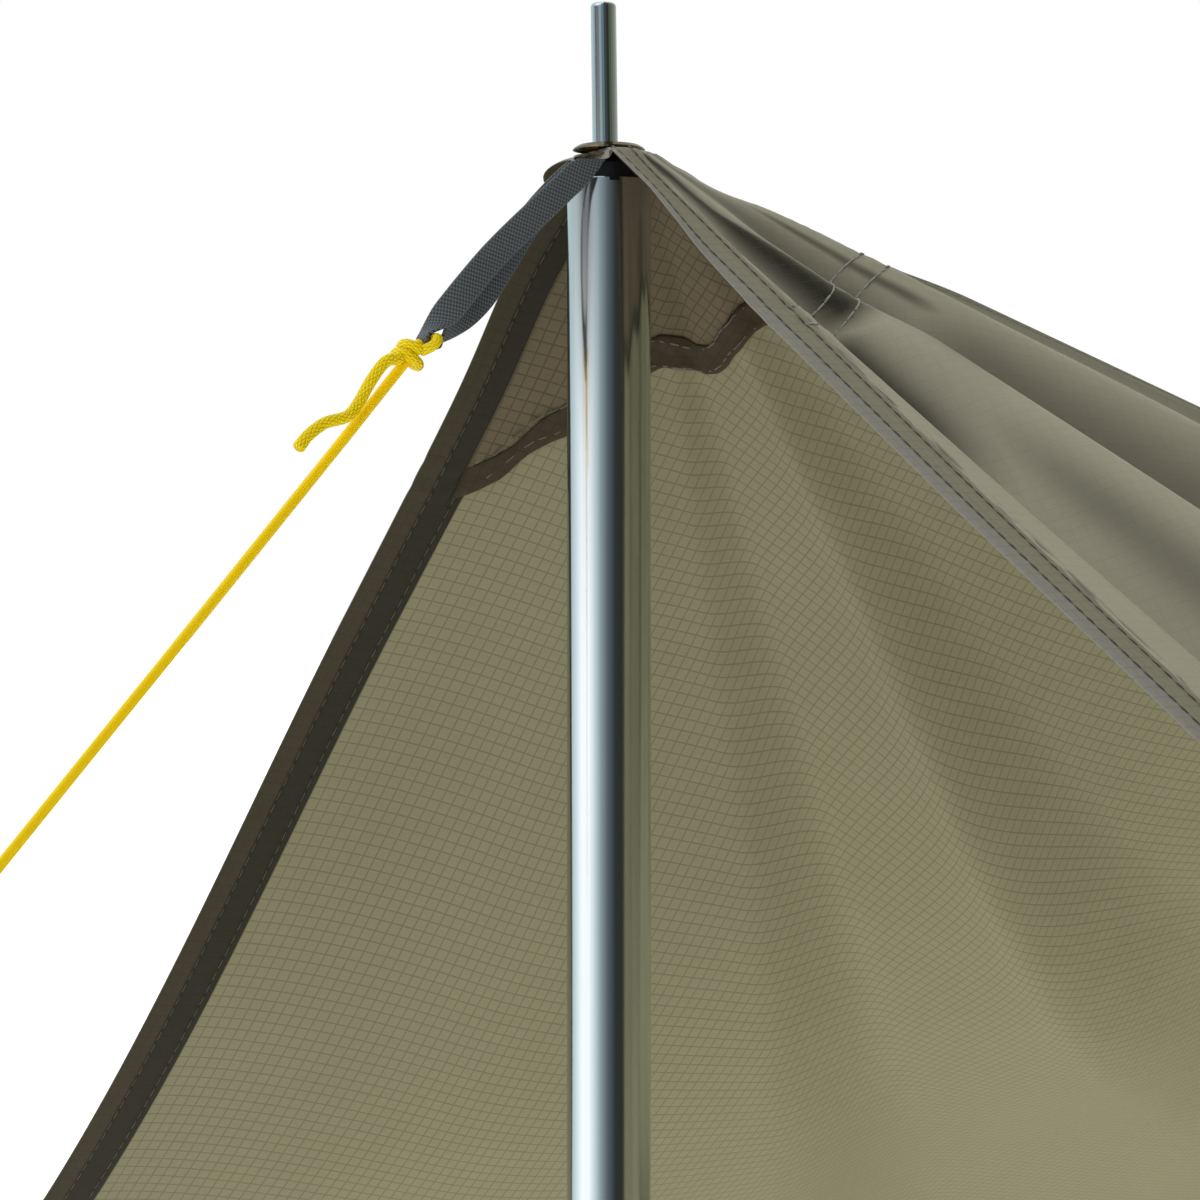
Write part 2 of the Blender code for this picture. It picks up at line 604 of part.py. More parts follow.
def make_spike():
    """Rod with a rounded tip, turned upright and then leant into its place."""
    length = SPIKE_TOP - SPIKE_BOTTOM
    r = SPIKE_RADIUS
    tip = [(0.0, length)]
    for i in range(7):
        t = math.radians(15 * i)
        tip.append((r - 1.4 * MM + 1.4 * MM * math.sin(t), length - 1.4 * MM + 1.4 * MM * math.cos(t)))
    profile = [*tip, (r, 0.6 * MM), (r - 0.6 * MM, 0.0), (0.0, 0.0)]
    spike = turned("spike", profile, ZINC, closed=False, steps=32)
    low = spike_axis(SPIKE_BOTTOM)
    turn = (spike_axis(SPIKE_TOP) - low).to_track_quat("Z", "Y")
    spike.rotation_mode = "QUATERNION"
    spike.rotation_quaternion = turn
    spike.location = low


def make_upper_pole():
    """Upper tube with its notched rim, the plug that holds the spike, and the lower guide bush."""
    bore = POLE_RADIUS - POLE_WALL
    chamfer = 0.3 * MM
    tube = [
        (POLE_RADIUS - chamfer, POLE_TOP), (POLE_RADIUS, POLE_TOP - chamfer), (POLE_RADIUS, POLE_BOTTOM),
        (bore, POLE_BOTTOM), (bore, POLE_TOP),
    ]
    upper = turned("upper_tube", tube, ALUMINIUM, closed=True)
    notch = box("rim_notch", (bore - 1 * MM, -NOTCH_WIDTH / 2, POLE_TOP - NOTCH_DEPTH),
                (POLE_RADIUS + 1 * MM, NOTCH_WIDTH / 2, POLE_TOP + 1 * MM))
    notch.rotation_euler = (0, 0, math.radians(NOTCH_HEADING))
    cut(upper, notch)

    fit = bore - GAP
    head = POLE_TOP + PLUG_RISE
    low = head - PLUG_LENGTH
    rim = 0.8 * MM
    plug = [(0.0, head), (fit - rim, head), (fit, head - rim), (fit, low + rim), (fit - rim, low), (0.0, low)]
    holder = turned("spike_plug", plug, BLACK_PLASTIC, closed=False)
    cut(holder, cylinder("spike_bore", SPIKE_RADIUS + GAP, spike_axis(SPIKE_BOTTOM - GAP),
                         spike_axis(SPIKE_TOP)))

    guide = OUTER_RADIUS - POLE_WALL - GAP
    top = POLE_BOTTOM + BUSH_LENGTH - BUSH_FLANGE
    seat = POLE_BOTTOM - GAP
    base = seat - BUSH_FLANGE
    drain = fit - BUSH_WALL
    bush = [(fit, top), (fit, seat), (guide, seat), (guide, base + rim), (guide - rim, base), (drain, base),
            (drain, top)]
    turned("guide_bush", bush, BLACK_PLASTIC, closed=True)


def make_lower_pole():
    """Outer tube and the rubber foot that it stands in."""
    bore = OUTER_RADIUS - POLE_WALL
    low = FOOT_FLOOR + GAP
    tube = [(OUTER_RADIUS, OUTER_TOP), (OUTER_RADIUS, low), (bore, low), (bore, OUTER_TOP)]
    turned("outer_tube", tube, ALUMINIUM, closed=True)
    pocket = OUTER_RADIUS + GAP
    edge = 2 * MM
    flare = FOOT_RADIUS + FOOT_WALL
    foot = [
        (0.0, FOOT_HEIGHT), (FOOT_RADIUS - edge, FOOT_HEIGHT), (FOOT_RADIUS, FOOT_HEIGHT - edge),
        (FOOT_RADIUS, FOOT_SKIRT_HEIGHT), (flare, edge), (flare, 0.0), (0.0, 0.0),
    ]
    boot = turned("foot_cap", foot, RUBBER, closed=False)
    cut(boot, cylinder("foot_pocket", pocket, (0, 0, FOOT_FLOOR), (0, 0, FOOT_HEIGHT + 0.01), sides=48))


def make_lever_lock():
    """Split collar on the outer tube, its cross screw and nut, and the cam lever on its pin."""
    bore = OUTER_RADIUS + GAP
    outer = bore + COLLAR_WALL
    top = OUTER_TOP + GAP + COLLAR_LIP
    low = top - COLLAR_HEIGHT
    mid = (top + low) / 2
    neck = POLE_RADIUS + GAP
    ring = [(outer, top), (outer, low), (bore, low), (bore, OUTER_TOP + GAP), (neck, OUTER_TOP + GAP),
            (neck, top)]
    collar = turned("lock_collar", ring, BLACK_PLASTIC, closed=True, steps=40)
    reach = bore + LUG_REACH
    half = LUG_SLOT / 2 + LUG_THICKNESS
    lugs = box("collar_lugs", (bore + COLLAR_WALL / 2, -half, mid - LUG_HALF_HEIGHT),
               (reach, half, mid + LUG_HALF_HEIGHT))
    cut(collar, lugs, "UNION")
    cut(collar, box("collar_slot", (neck - 2 * MM, -LUG_SLOT / 2, low - 1 * MM),
                    (reach + 1 * MM, LUG_SLOT / 2, top + 1 * MM)))
    cut(collar, cylinder("screw_hole", SCREW_RADIUS + GAP, (SCREW_OFFSET, -half - 1 * MM, mid),
                         (SCREW_OFFSET, half + 1 * MM, mid), sides=24))

    pivot_y = half + GAP + CAM_RADIUS
    nut_y = -half - GAP
    eye_half = 2 * MM
    screw = cylinder("lock_screw", SCREW_RADIUS, (SCREW_OFFSET, nut_y - NUT_LENGTH - 1 * MM, mid),
                     (SCREW_OFFSET, pivot_y, mid), ZINC, sides=24, collection=PARTS)
    cut(screw, cylinder("screw_eye", 3 * MM, (SCREW_OFFSET, pivot_y, mid - eye_half),
                        (SCREW_OFFSET, pivot_y, mid + eye_half), sides=24), "UNION")
    cut(screw, cylinder("screw_eye_hole", LEVER_PIN_RADIUS + GAP, (SCREW_OFFSET, pivot_y, mid - 0.01),
                        (SCREW_OFFSET, pivot_y, mid + 0.01), sides=24))
    nut = cylinder("lock_nut", NUT_RADIUS, (SCREW_OFFSET, nut_y - NUT_LENGTH, mid), (SCREW_OFFSET, nut_y, mid),
                   ZINC, sides=6, collection=PARTS)
    cut(nut, cylinder("nut_hole", SCREW_RADIUS + GAP, (SCREW_OFFSET, nut_y - 0.01, mid),
                      (SCREW_OFFSET, nut_y + 0.005, mid), sides=24))
    half_lever = LEVER_HEIGHT / 2
    cylinder("lever_pin", LEVER_PIN_RADIUS, (SCREW_OFFSET, pivot_y, mid - half_lever + 0.5 * MM),
             (SCREW_OFFSET, pivot_y, mid + half_lever - 0.5 * MM), ZINC, sides=24, collection=PARTS)

    pivot_angle = math.atan2(pivot_y, SCREW_OFFSET)
    inside = outer + 1.8 * MM
    outline = []
    for i in range(25):
        angle = pivot_angle + math.radians(LEVER_SWEEP) * i / 24
        flare = 3 * MM * max(0.0, i / 24 - 0.6) / 0.4
        outline.append((inside + flare, angle))
    arc = [(r * math.cos(a), r * math.sin(a)) for r, a in outline]
    arc += [((r + LEVER_WALL) * math.cos(a), (r + LEVER_WALL) * math.sin(a)) for r, a in reversed(outline)]
    count = len(arc)
    pivot = Vector((SCREW_OFFSET, pivot_y, mid))
    points = [(x - pivot.x, y - pivot.y, z) for z in (-half_lever, half_lever) for x, y in arc]
    sides = [(i, (i + 1) % count, (i + 1) % count + count, i + count) for i in range(count)]
    half_count = count // 2
    caps = []
    for i in range(half_count - 1):
        a, b, c, d = i, i + 1, count - 2 - i, count - 1 - i
        caps.append((d, c, b, a))
        caps.append((a + count, b + count, c + count, d + count))
    lever = add_mesh("lock_lever", points, sides + caps, BLACK_PLASTIC)
    lever.location = pivot
    fix = bmesh.new()
    fix.from_mesh(lever.data)
    bmesh.ops.recalc_face_normals(fix, faces=fix.faces)
    fix.to_mesh(lever.data)
    fix.free()
    cut(lever, cylinder("lever_cam", CAM_RADIUS, pivot - Vector((0, 0, half_lever)),
                        pivot + Vector((0, 0, half_lever))), "UNION")
    eye = eye_half + GAP
    fork = 3 * MM + GAP
    cut(lever, cylinder("lever_fork", fork + 0.4 * MM, pivot - Vector((0, 0, eye)), pivot + Vector((0, 0, eye))))
    swing = 8 * MM
    cut(lever, box("lever_fork_mouth", (SCREW_OFFSET - swing, pivot_y - swing, mid - eye),
                   (SCREW_OFFSET + swing, pivot_y, mid + eye)))
    cut(lever, box("lever_fork_swing", (SCREW_OFFSET, pivot_y - 1 * MM, mid - eye),
                   (SCREW_OFFSET + swing, pivot_y + swing, mid + eye)))
    cut(lever, cylinder("lever_pin_hole", LEVER_PIN_RADIUS + GAP, pivot - Vector((0, 0, 0.02)),
                        pivot + Vector((0, 0, 0.02)), sides=24))


def ribbon(name, upper, lower, thickness, material):
    """Strap between two edge lines, given its thickness by Solidify."""
    count = len(upper)
    faces = [(i, i + 1, count + i + 1, count + i) for i in range(count - 1)]
    item = add_mesh(name, [*upper, *lower], faces, material)
    solidify = item.modifiers.new("thickness", "SOLIDIFY")
    solidify.thickness = thickness
    solidify.offset = 0.0
    solidify.use_even_offset = True
    return item


def hung(points):
    """Places above the ground, in millimetres, of places given from the eyelet."""
    return [(x, y, z + APEX_HEIGHT / MM) for x, y, z in points]


def loop_frame():
    """Directions of the apex loop: sideways, along its pull and across it."""
    pull = math.radians(LOOP_PULL)
    along = Vector((0, -math.cos(pull), -math.sin(pull)))
    across = Vector((0, -math.sin(pull), math.cos(pull)))
    return Vector((1, 0, 0)), along, across


def make_apex_loop():
    """Webbing loop sewn under the front hem, pinched by the guyline's eye."""
    side, along, across = loop_frame()
    eye = Vector(hung([LOOP_EYE])[0])
    upper, lower = [], []
    for forward, up, sideways, turn, slant, width in APEX_LOOP:
        centre = eye + along * forward + across * up + side * sideways
        turn, slant = math.radians(turn), math.radians(slant)
        reach = across * math.cos(turn) - side * math.sin(turn)
        reach = reach * math.cos(slant) + along * math.sin(slant)
        upper.append(centre + reach * width / 2)
        lower.append(centre - reach * width / 2)
    samples = 3 * len(APEX_LOOP)
    edges = [smooth_sections(line, samples) for line in (upper, lower)]
    ribbon("apex_loop", edges[0], edges[1], STRAP_THICKNESS, WEBBING)


def make_peg_loop(name, p_edge, q_edge, centre_y):
    """Flat doubled strap on the ground, sewn at a pegged point of the cloth."""
    corner = cloth(p_edge, q_edge)
    out = Vector((corner[0], corner[1] - centre_y, 0.0)).normalized()
    across = Vector((-out.y, out.x, 0.0)) * PEG_LOOP_WIDTH / 2
    start = Vector((corner[0], corner[1], 0.0)) + out * 0.4 * MM
    bend = STRAP_THICKNESS / 2 + 0.3 * MM
    low = STRAP_THICKNESS / 2
    path = [start + Vector((0, 0, low)), start + out * PEG_LOOP_LENGTH / 2 + Vector((0, 0, low))]
    for i in range(7):
        turn = math.radians(-90 + 30 * i)
        along = PEG_LOOP_LENGTH + bend * math.cos(turn)
        path.append(start + out * along + Vector((0, 0, low + bend + bend * math.sin(turn))))
    top = low + 2 * bend
    path += [start + out * PEG_LOOP_LENGTH / 2 + Vector((0, 0, top)), start + Vector((0, 0, top))]
    ribbon(name, [p - across for p in path], [p + across for p in path], STRAP_THICKNESS, WEBBING)


def make_guyline():
    """Standing line, tail, eye and stopper wraps of the front guyline."""
    spacing = 6 * MM
    loop_eye, knot_centre = (Vector(place) for place in hung([LOOP_EYE, KNOT_CENTRE]))
    standing = hung(STANDING_LINE)
    cord("guyline", smooth_route(standing, spacing))
    cord("guyline_tail", smooth_route(hung(TAIL_LINE), 3 * MM))
    side, along, across = loop_frame()
    eye = [loop_eye + side * x + along * a + across * b for x, a, b in EYE_LINE]
    cord("guyline_eye", smooth_route(eye, 1.2 * MM))
    away = (Vector(standing[1]) - Vector(standing[0])).normalized()
    up = away.cross(side).normalized()
    centre = knot_centre * MM
    wraps = []
    for i in range(36):
        share = i / 35
        angle = 2 * math.pi * KNOT_TURNS * share
        along = (share - 0.5) * KNOT_TURNS * 2.12 * CORD_RADIUS
        wraps.append(tuple(centre + away * along + side * KNOT_RADIUS * math.cos(angle)
                           + up * KNOT_RADIUS * math.sin(angle)))
    cord("guyline_knot", wraps)
    end = Vector(standing[-1]) * MM
    middle = end + away * (END_LOOP_RADIUS + CORD_RADIUS + GAP)
    loop = []
    for i in range(24):
        angle = 2 * math.pi * i / 24
        loop.append(tuple(middle - away * END_LOOP_RADIUS * math.cos(angle)
                          + up * END_LOOP_RADIUS * math.sin(angle)))
    cord("guyline_end_loop", loop, closed=True)


make_panel("tarp_panel_left", -1)
make_panel("tarp_panel_right", 1)
make_ridge_seam()
make_front_hem()
make_side_hem("side_hem_left", -1)
make_side_hem("side_hem_right", 1)
make_rear_hem()
make_apex_patch()
make_eyelet()
make_spike()
make_upper_pole()
make_lower_pole()
make_lever_lock()
make_apex_loop()
REAR_EDGE = TARP_DEPTH - EYELET_SETBACK
PITCH_MIDDLE = 2.0  # the rear peg loops point away from here along the ridge
make_peg_loop("peg_loop_front_left", -TARP_HALF_WIDTH, -EYELET_SETBACK, 0.0)
make_peg_loop("peg_loop_rear_left", -TARP_HALF_WIDTH, REAR_EDGE, PITCH_MIDDLE)
make_peg_loop("peg_loop_rear_middle", 0.0, REAR_EDGE, PITCH_MIDDLE)
make_peg_loop("peg_loop_rear_right", TARP_HALF_WIDTH, REAR_EDGE, PITCH_MIDDLE)
make_peg_loop("peg_loop_front_right", TARP_HALF_WIDTH, -EYELET_SETBACK, 0.0)
make_guyline()
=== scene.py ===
"""Looks of a square camping tarp pitched over one telescopic pole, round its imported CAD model.

The cloth, hems, patch, webbing and guyline are modelled here in full detail. The pole, spike,
eyelet and lever lock keep their CAD solids and get procedural materials. Units are metres, +Z is
up, and the flat cloth has its own coordinates: p runs to the right of the eyelet and q runs back
from it. Flat angles run from the front edge's left half, at 0, over the ridge, at 90, to 180.
"""

from __future__ import annotations

import json
import logging
import math
from dataclasses import dataclass
from enum import Enum
from typing import Callable, Sequence

import bpy
import numpy as np
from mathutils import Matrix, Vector

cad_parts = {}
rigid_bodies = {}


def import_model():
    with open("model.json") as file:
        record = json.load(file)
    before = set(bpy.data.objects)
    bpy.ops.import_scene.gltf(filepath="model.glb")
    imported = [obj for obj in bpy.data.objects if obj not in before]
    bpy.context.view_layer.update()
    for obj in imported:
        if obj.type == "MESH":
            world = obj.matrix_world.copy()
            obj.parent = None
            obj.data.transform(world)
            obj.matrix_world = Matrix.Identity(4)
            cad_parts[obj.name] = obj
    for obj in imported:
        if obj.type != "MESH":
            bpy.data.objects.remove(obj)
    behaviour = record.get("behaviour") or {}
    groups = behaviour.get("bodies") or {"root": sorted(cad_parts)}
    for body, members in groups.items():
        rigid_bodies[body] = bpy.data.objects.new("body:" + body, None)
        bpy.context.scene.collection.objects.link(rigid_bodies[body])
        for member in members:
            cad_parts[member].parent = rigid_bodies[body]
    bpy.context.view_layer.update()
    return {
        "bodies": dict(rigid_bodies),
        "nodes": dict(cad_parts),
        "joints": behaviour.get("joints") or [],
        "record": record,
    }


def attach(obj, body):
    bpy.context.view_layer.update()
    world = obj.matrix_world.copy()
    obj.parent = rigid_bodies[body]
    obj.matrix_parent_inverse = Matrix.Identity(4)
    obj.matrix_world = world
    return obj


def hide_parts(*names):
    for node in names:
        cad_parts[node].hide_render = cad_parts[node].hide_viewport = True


LOG = logging.getLogger("camping_tarp")
MM = 0.001

# Flat cloth
HALF_WIDTH = 2.000
DEPTH = 4.000
SETBACK = 14 * MM  # from the front edge to the eyelet's centre
HEM_WIDTH = 23 * MM
SEAM_WIDTH = 12 * MM
PANEL_THICKNESS = 0.5 * MM
HEM_THICKNESS = 1.2 * MM
SEAM_THICKNESS = 1.0 * MM
REAR = DEPTH - SETBACK
HEM_INSIDE = HEM_WIDTH - SETBACK  # flat q where the front hem ends
STITCH_ROWS = (8.5 * MM, 19.5 * MM)  # from the cloth's edge
SEAM_ROW = 4 * MM  # from the ridge
STITCH_PITCH = 5.2 * MM
GRID_CELL = 4.5 * MM
WEAVE_PITCH = 0.55 * MM
CLOSE_UP = 0.55  # threads are modelled one by one up to this far from the eyelet
CLOSE_UP_FADE = 20 * MM

# Patch under the eyelet: flat angle in degrees and radius in millimetres
PATCH_OUTLINE = (
    (0, 150), (3, 144.5), (6, 139), (9, 128), (12, 123), (15, 120), (24, 107), (33, 98.5),
    (36, 100.5), (39, 104.5), (42, 110), (45, 111), (48, 108.5), (51, 104), (57, 99.5), (66, 104),
    (90, 113), (104, 109.5), (124, 101.5), (140, 104.5), (160, 116.5), (180, 124),
)
PATCH_ROWS = (1.4 * MM, 11.4 * MM)  # from the patch's outline
BORDER_WIDTH = 12.8 * MM

# Pitch
APEX_HEIGHT = 1.2975
GROUND_CLEARANCE = 3.5 * MM
FLAT_INNER = 12.5 * MM  # the cloth is level under the eyelet and bends down from here
FLAT_OUTER = 22 * MM  # to here
FOLD_START = 15 * MM
FOLD_FULL = 80 * MM
SWEEP_RADIUS = 0.450  # farther out the cloth runs straight to the pegged edge
SWEEP_BLEND = 0.250
LEVEL_HEADINGS = (142.0, 66.0, -24.0)  # of the level part, at flat angles 0, 90 and 180
TURN_HEADING = -29.2  # where the front edge turns to beside the eyelet
TURN_PLACES = (-10 * MM, 4 * MM, 35 * MM, 85 * MM)  # flat p: begins, is full, fades, ends
TURN_DROP = 0.2
# Plan places of the pegged points: front left, rear left, rear middle, rear right, front right
GROUND_POINTS = ((-1.40, -0.35), (-1.95, 3.60), (0.0, 3.78), (1.80, 3.85), (1.461, 0.339))
# Lines of tension: flat angle, heading and slope in degrees, without the folds and with them
MAIN_LINES = (
    (0.0, 212.7, 58.6), (18.3, 173.0, 61.8), (36.6, 138.8, 53.7), (63.0, 113.5, 37.2),
    (90.0, 90.0, 19.2), (135.0, 55.4, 34.4), (180.0, 13.1, 37.2),
)
FOLD_LINES = (
    (0.0, 212.7, 58.6), (18.3, 173.0, 61.8), (36.6, 138.8, 53.7), (43.8, 130.5, 46.5),
    (53.0, 119.5, 45.8), (63.0, 113.5, 36.5), (90.0, 90.0, 19.2), (98.6, 84.7, 24.4),
    (110.6, 73.6, 24.8), (133.0, 57.9, 40.5), (150.0, 40.5, 33.1), (164.0, 27.7, 41.7),
    (174.0, 18.8, 37.1), (180.0, 13.1, 37.2),
)

# Fine folds: flat angle and its spread in degrees, height in millimetres, and in millimetres from
# the eyelet where the fold starts, is full, starts to fade and has gone
FINE_FOLDS = (
    (142.0, 3.2, 1.6, 90, 150, 600, 1600), (157.0, 2.6, -1.4, 120, 160, 600, 1600),
    (168.0, 2.2, 1.0, 30, 120, 600, 1600), (121.0, 3.4, 1.6, 90, 150, 600, 1600),
    (104.0, 2.4, -1.0, 30, 120, 600, 1600), (150.0, 8.0, -3.4, 26, 55, 100, 140),
    (163.0, 3.0, -2.2, 108, 126, 150, 210), (166.0, 1.2, 0.8, 130, 180, 300, 700),
    (112.0, 2.0, 1.0, 40, 80, 110, 150), (127.0, 2.0, -1.0, 90, 120, 200, 420),
    (135.0, 1.6, 0.9, 100, 130, 220, 420), (98.0, 1.6, 0.9, 40, 80, 140, 260),
    (100.0, 45.0, -2.4, 12, 24, 34, 60), (88.0, 22.0, -3.8, 26, 50, 85, 150),
)
# Groove of a stitch row: spread, and depth and wave in millimetres
ROW_GROOVE = (2.2 * MM, 0.35, 0.25)
# Puckers beside it: how far inside it, spread, height in millimetres, and length of a radian
ROW_PUCKER = (4.5 * MM, 3.0 * MM, 0.35, 2.3 * MM)
# The left front edge leans out beside the eyelet: which way, then size, flat p and spread of leans
FLARE_WAY = np.array([-0.488, -0.873, 0.0])
FLARES = ((11 * MM, -22 * MM, 9 * MM), (3.2 * MM, -62 * MM, 34 * MM))
FLARE_FADE = 14 * MM
# The edge in front of the eyelet hangs: how far, from which flat q, over which distance and spread
EDGE_DROOP = 3.4 * MM
DROOP_START = -10.5 * MM
DROOP_FADE = 3.5 * MM
DROOP_SPREAD = 9 * MM
# Painted shade in the folds of the weather side: flat angle and its spread in degrees, strength,
# and in millimetres from the eyelet where the shade starts, is full, starts to fade and has gone
FOLD_SHADES = (
    (155.5, 8, 1.00, 0, 0, 108, 122), (128, 9, 0.60, 0, 0, 90, 150),
    (122, 6, 0.50, 100, 150, 500, 1300), (118, 1.7, 0.70, 40, 70, 112, 135),
    (110, 1.5, 0.70, 40, 70, 112, 135), (103, 1.5, 0.60, 40, 70, 112, 135),
    (101, 4.5, 0.45, 110, 150, 220, 700), (162, 4, 0.90, 112, 124, 150, 205),
    (147, 3, 0.75, 106, 116, 140, 180), (156, 2.2, 0.45, 150, 220, 300, 700),
    (141, 3.0, 0.45, 130, 200, 300, 800), (92, 2.2, 0.40, 0, 0, 400, 900),
    (175.5, 1.6, 0.40, 30, 60, 110, 160),
)
# Short painted tuck shadows along the front hem's inner edge: where they begin, are full, fade and
# have gone
TUCK_SHADOW_BAND = (-1 * MM, 0.5 * MM, 1.5 * MM, 4.5 * MM)

# Webbing and guyline, places as in the CAD
STRAP_THICKNESS = 1.2 * MM
STRAP_SHARES = (0, 0.02, 0.06, 0.14, 0.28, 0.42, 0.5, 0.58, 0.72, 0.86, 0.94, 0.98, 1.0)
STRAP_ROUND = (0.55, 0.45)  # share of the thickness at a selvedge, and its gain to the middle
STRAP_EDGE = 0.12  # half the thickness of the last thread, as a share of the strap's
PEG_LOOP_LENGTH = 60 * MM
PEG_LOOP_WIDTH = 15 * MM
APEX_LOOP_WIDTH = 9.5 * MM
# Loop, from one end round the eye to the other: forward, up and sideways of the eye in millimetres,
# turn about the pull and slant in degrees, width in millimetres
APEX_LOOP = (
    (-82.8, 0.9, 11.4, 0, 43, 4.6), (-75.0, 2.6, 10.6, 0, 0, 9.2), (-67.0, 3.0, 9.4, 0, 0, 9.5),
    (-56.0, 3.6, 8.2, 0, 0, 9.5), (-44.0, 4.3, 7.0, 0, 0, 9.5), (-33.0, 4.6, 6.0, 0, 0, 9.5),
    (-23.0, 4.1, 5.0, 5, 0, 9.5), (-14.0, 3.3, 3.8, 18, 0, 9.5), (-8.0, 2.7, 2.4, 36, 0, 9.3),
    (-3.5, 2.6, 0.8, 70, 0, 8.6), (0.0, 2.7, 0.0, 90, 0, 8.0), (1.5, 2.4, 0.0, 90, 0, 8.0),
    (2.6, 1.5, 0.0, 90, 0, 8.0), (3.0, 0.0, 0.0, 90, 0, 8.0), (2.6, -1.5, 0.0, 90, 0, 8.0),
    (1.5, -2.4, 0.0, 90, 0, 8.0), (0.0, -2.7, 0.0, 90, 0, 8.0), (-4.0, -2.8, -0.8, 116, 0, 8.8),
    (-10.0, -3.6, -2.6, 146, 0, 9.4), (-17.0, -4.8, -4.2, 168, 0, 9.5),
    (-27.0, -5.0, -4.8, 180, 0, 9.5), (-40.0, -2.6, -3.6, 180, 0, 9.5),
    (-54.0, 1.0, -0.6, 180, 0, 9.5), (-66.0, 2.6, 4.2, 180, 0, 9.5), (-76.0, 3.0, 7.6, 180, 0, 8.6),
)
LOOP_EYE = (0.0, -66.4, 1233.1)
LOOP_PULL = 46.6  # degrees below level
CORD_RADIUS = 1.75 * MM
# Middle lines of the cords, in millimetres
STANDING_LINE = (
    (0, -70.2, 1231.8), (0, -77.1, 1223.8), (0, -86, 1213.5), (0, -97, 1200.7),
    (0, -119.6, 1174.7), (0, -148, 1142.0), (0, -177.3, 1108.5), (0, -195, 1088.2),
    (0, -212.6, 1068.0), (0, -225.3, 1053.6),
)
TAIL_LINE = (
    (3.4, -79.3, 1226.3), (4.2, -84.5, 1225.2), (4.2, -89.8, 1218.8), (4.2, -94.2, 1211.6),
    (5.0, -98.6, 1207.2), (6.0, -106.7, 1204.9), (7.0, -113.0, 1200.8), (7.6, -116.5, 1197.0),
)
EYE_LINE = (  # sideways of the loop's eye, along the pull and across it
    (3.8, 6.2, 0.8), (5.4, 4.8, 0.4), (6.3, 3.2, 0.0), (6.4, 1.2, 0.0), (4.6, -0.2, 0.0),
    (0.0, -0.4, 0.0), (-4.6, -0.2, 0.0), (-6.4, 1.2, 0.0), (-6.3, 3.2, 0.0), (-5.4, 4.8, 0.4),
    (-3.8, 6.2, 0.8),
)
KNOT_CENTRE = (0.0, -74.0, 1227.4)
KNOT_RADIUS = 3.9 * MM
KNOT_TURNS = 1.35
KNOT_PITCH = 2.12  # cord radii that each turn moves on
END_LOOP_RADIUS = 9 * MM

TARP = "pitched_tarp"
# Least share of a facet's normal along the pole's radius where it counts as a round wall
WALL_LEAN = 0.99
# Form of a stitch: share of its length, of its radius, and lift in radii
STITCH_FORM = (
    (-0.5, 0.35, -0.5), (-0.36, 0.9, 0.1), (0.0, 1.0, 0.35), (0.36, 0.9, 0.1), (0.5, 0.35, -0.5),
)
STITCH_SIDES = 6
# Domed end of a cord, in shares of its radius: its rings, the least of them, and its height
DOME = (0.0, 0.45, 0.8, 0.97)
DOME_TIP = 0.05
DOME_HEIGHT = 0.6
SPLINE_STEPS = 24
LOOP_STEPS = 10
LAST_STEP = 0.6  # least share of a step that is left for the last one
TINY = 1e-9
WHITE = (1.0, 1.0, 1.0, 1.0)


def linear(code: str) -> tuple[float, float, float, float]:
    """Linear colour of a hexadecimal display colour.

    Args:
        code: Six hexadecimal digits.

    Returns:
        Red, green, blue and alpha, each from 0 to 1.
    """
    parts = [int(code[i:i + 2], 16) / 255 for i in (0, 2, 4)]
    return (*[c / 12.92 if c <= 0.04045 else ((c + 0.055) / 1.055) ** 2.4 for c in parts], 1.0)


def smoothstep(value: np.ndarray) -> np.ndarray:
    """Smooth rise from 0 to 1 of a value clipped to that range."""
    value = np.clip(value, 0.0, 1.0)
    return value * value * (3 - 2 * value)


def bell(value: np.ndarray, middle: float, width: float) -> np.ndarray:
    """Bell curve of height 1 round a middle."""
    return np.exp(-((value - middle) / width) ** 2)


# Shader formulas


@dataclass
class Term:
    """A number that shader nodes work out, for use in formulas.

    Attributes:
        finish: The formula builder that it belongs to.
        socket: Where the number comes out.
    """

    finish: "Formula"
    socket: bpy.types.NodeSocket

    def __add__(self, other: "Term | float") -> "Term":
        """Sum."""
        return self.finish.math("ADD", self, other)

    def __sub__(self, other: "Term | float") -> "Term":
        """Difference."""
        return self.finish.math("SUBTRACT", self, other)

    def __rsub__(self, other: float) -> "Term":
        """Difference from a number."""
        return self.finish.math("SUBTRACT", other, self)

    def __mul__(self, other: "Term | float") -> "Term":
        """Product."""
        return self.finish.math("MULTIPLY", self, other)

    def __truediv__(self, other: "Term | float") -> "Term":
        """Quotient."""
        return self.finish.math("DIVIDE", self, other)

    def __abs__(self) -> "Term":
        """Size without its sign."""
        return self.finish.math("ABSOLUTE", self)

    __radd__ = __add__
    __rmul__ = __mul__


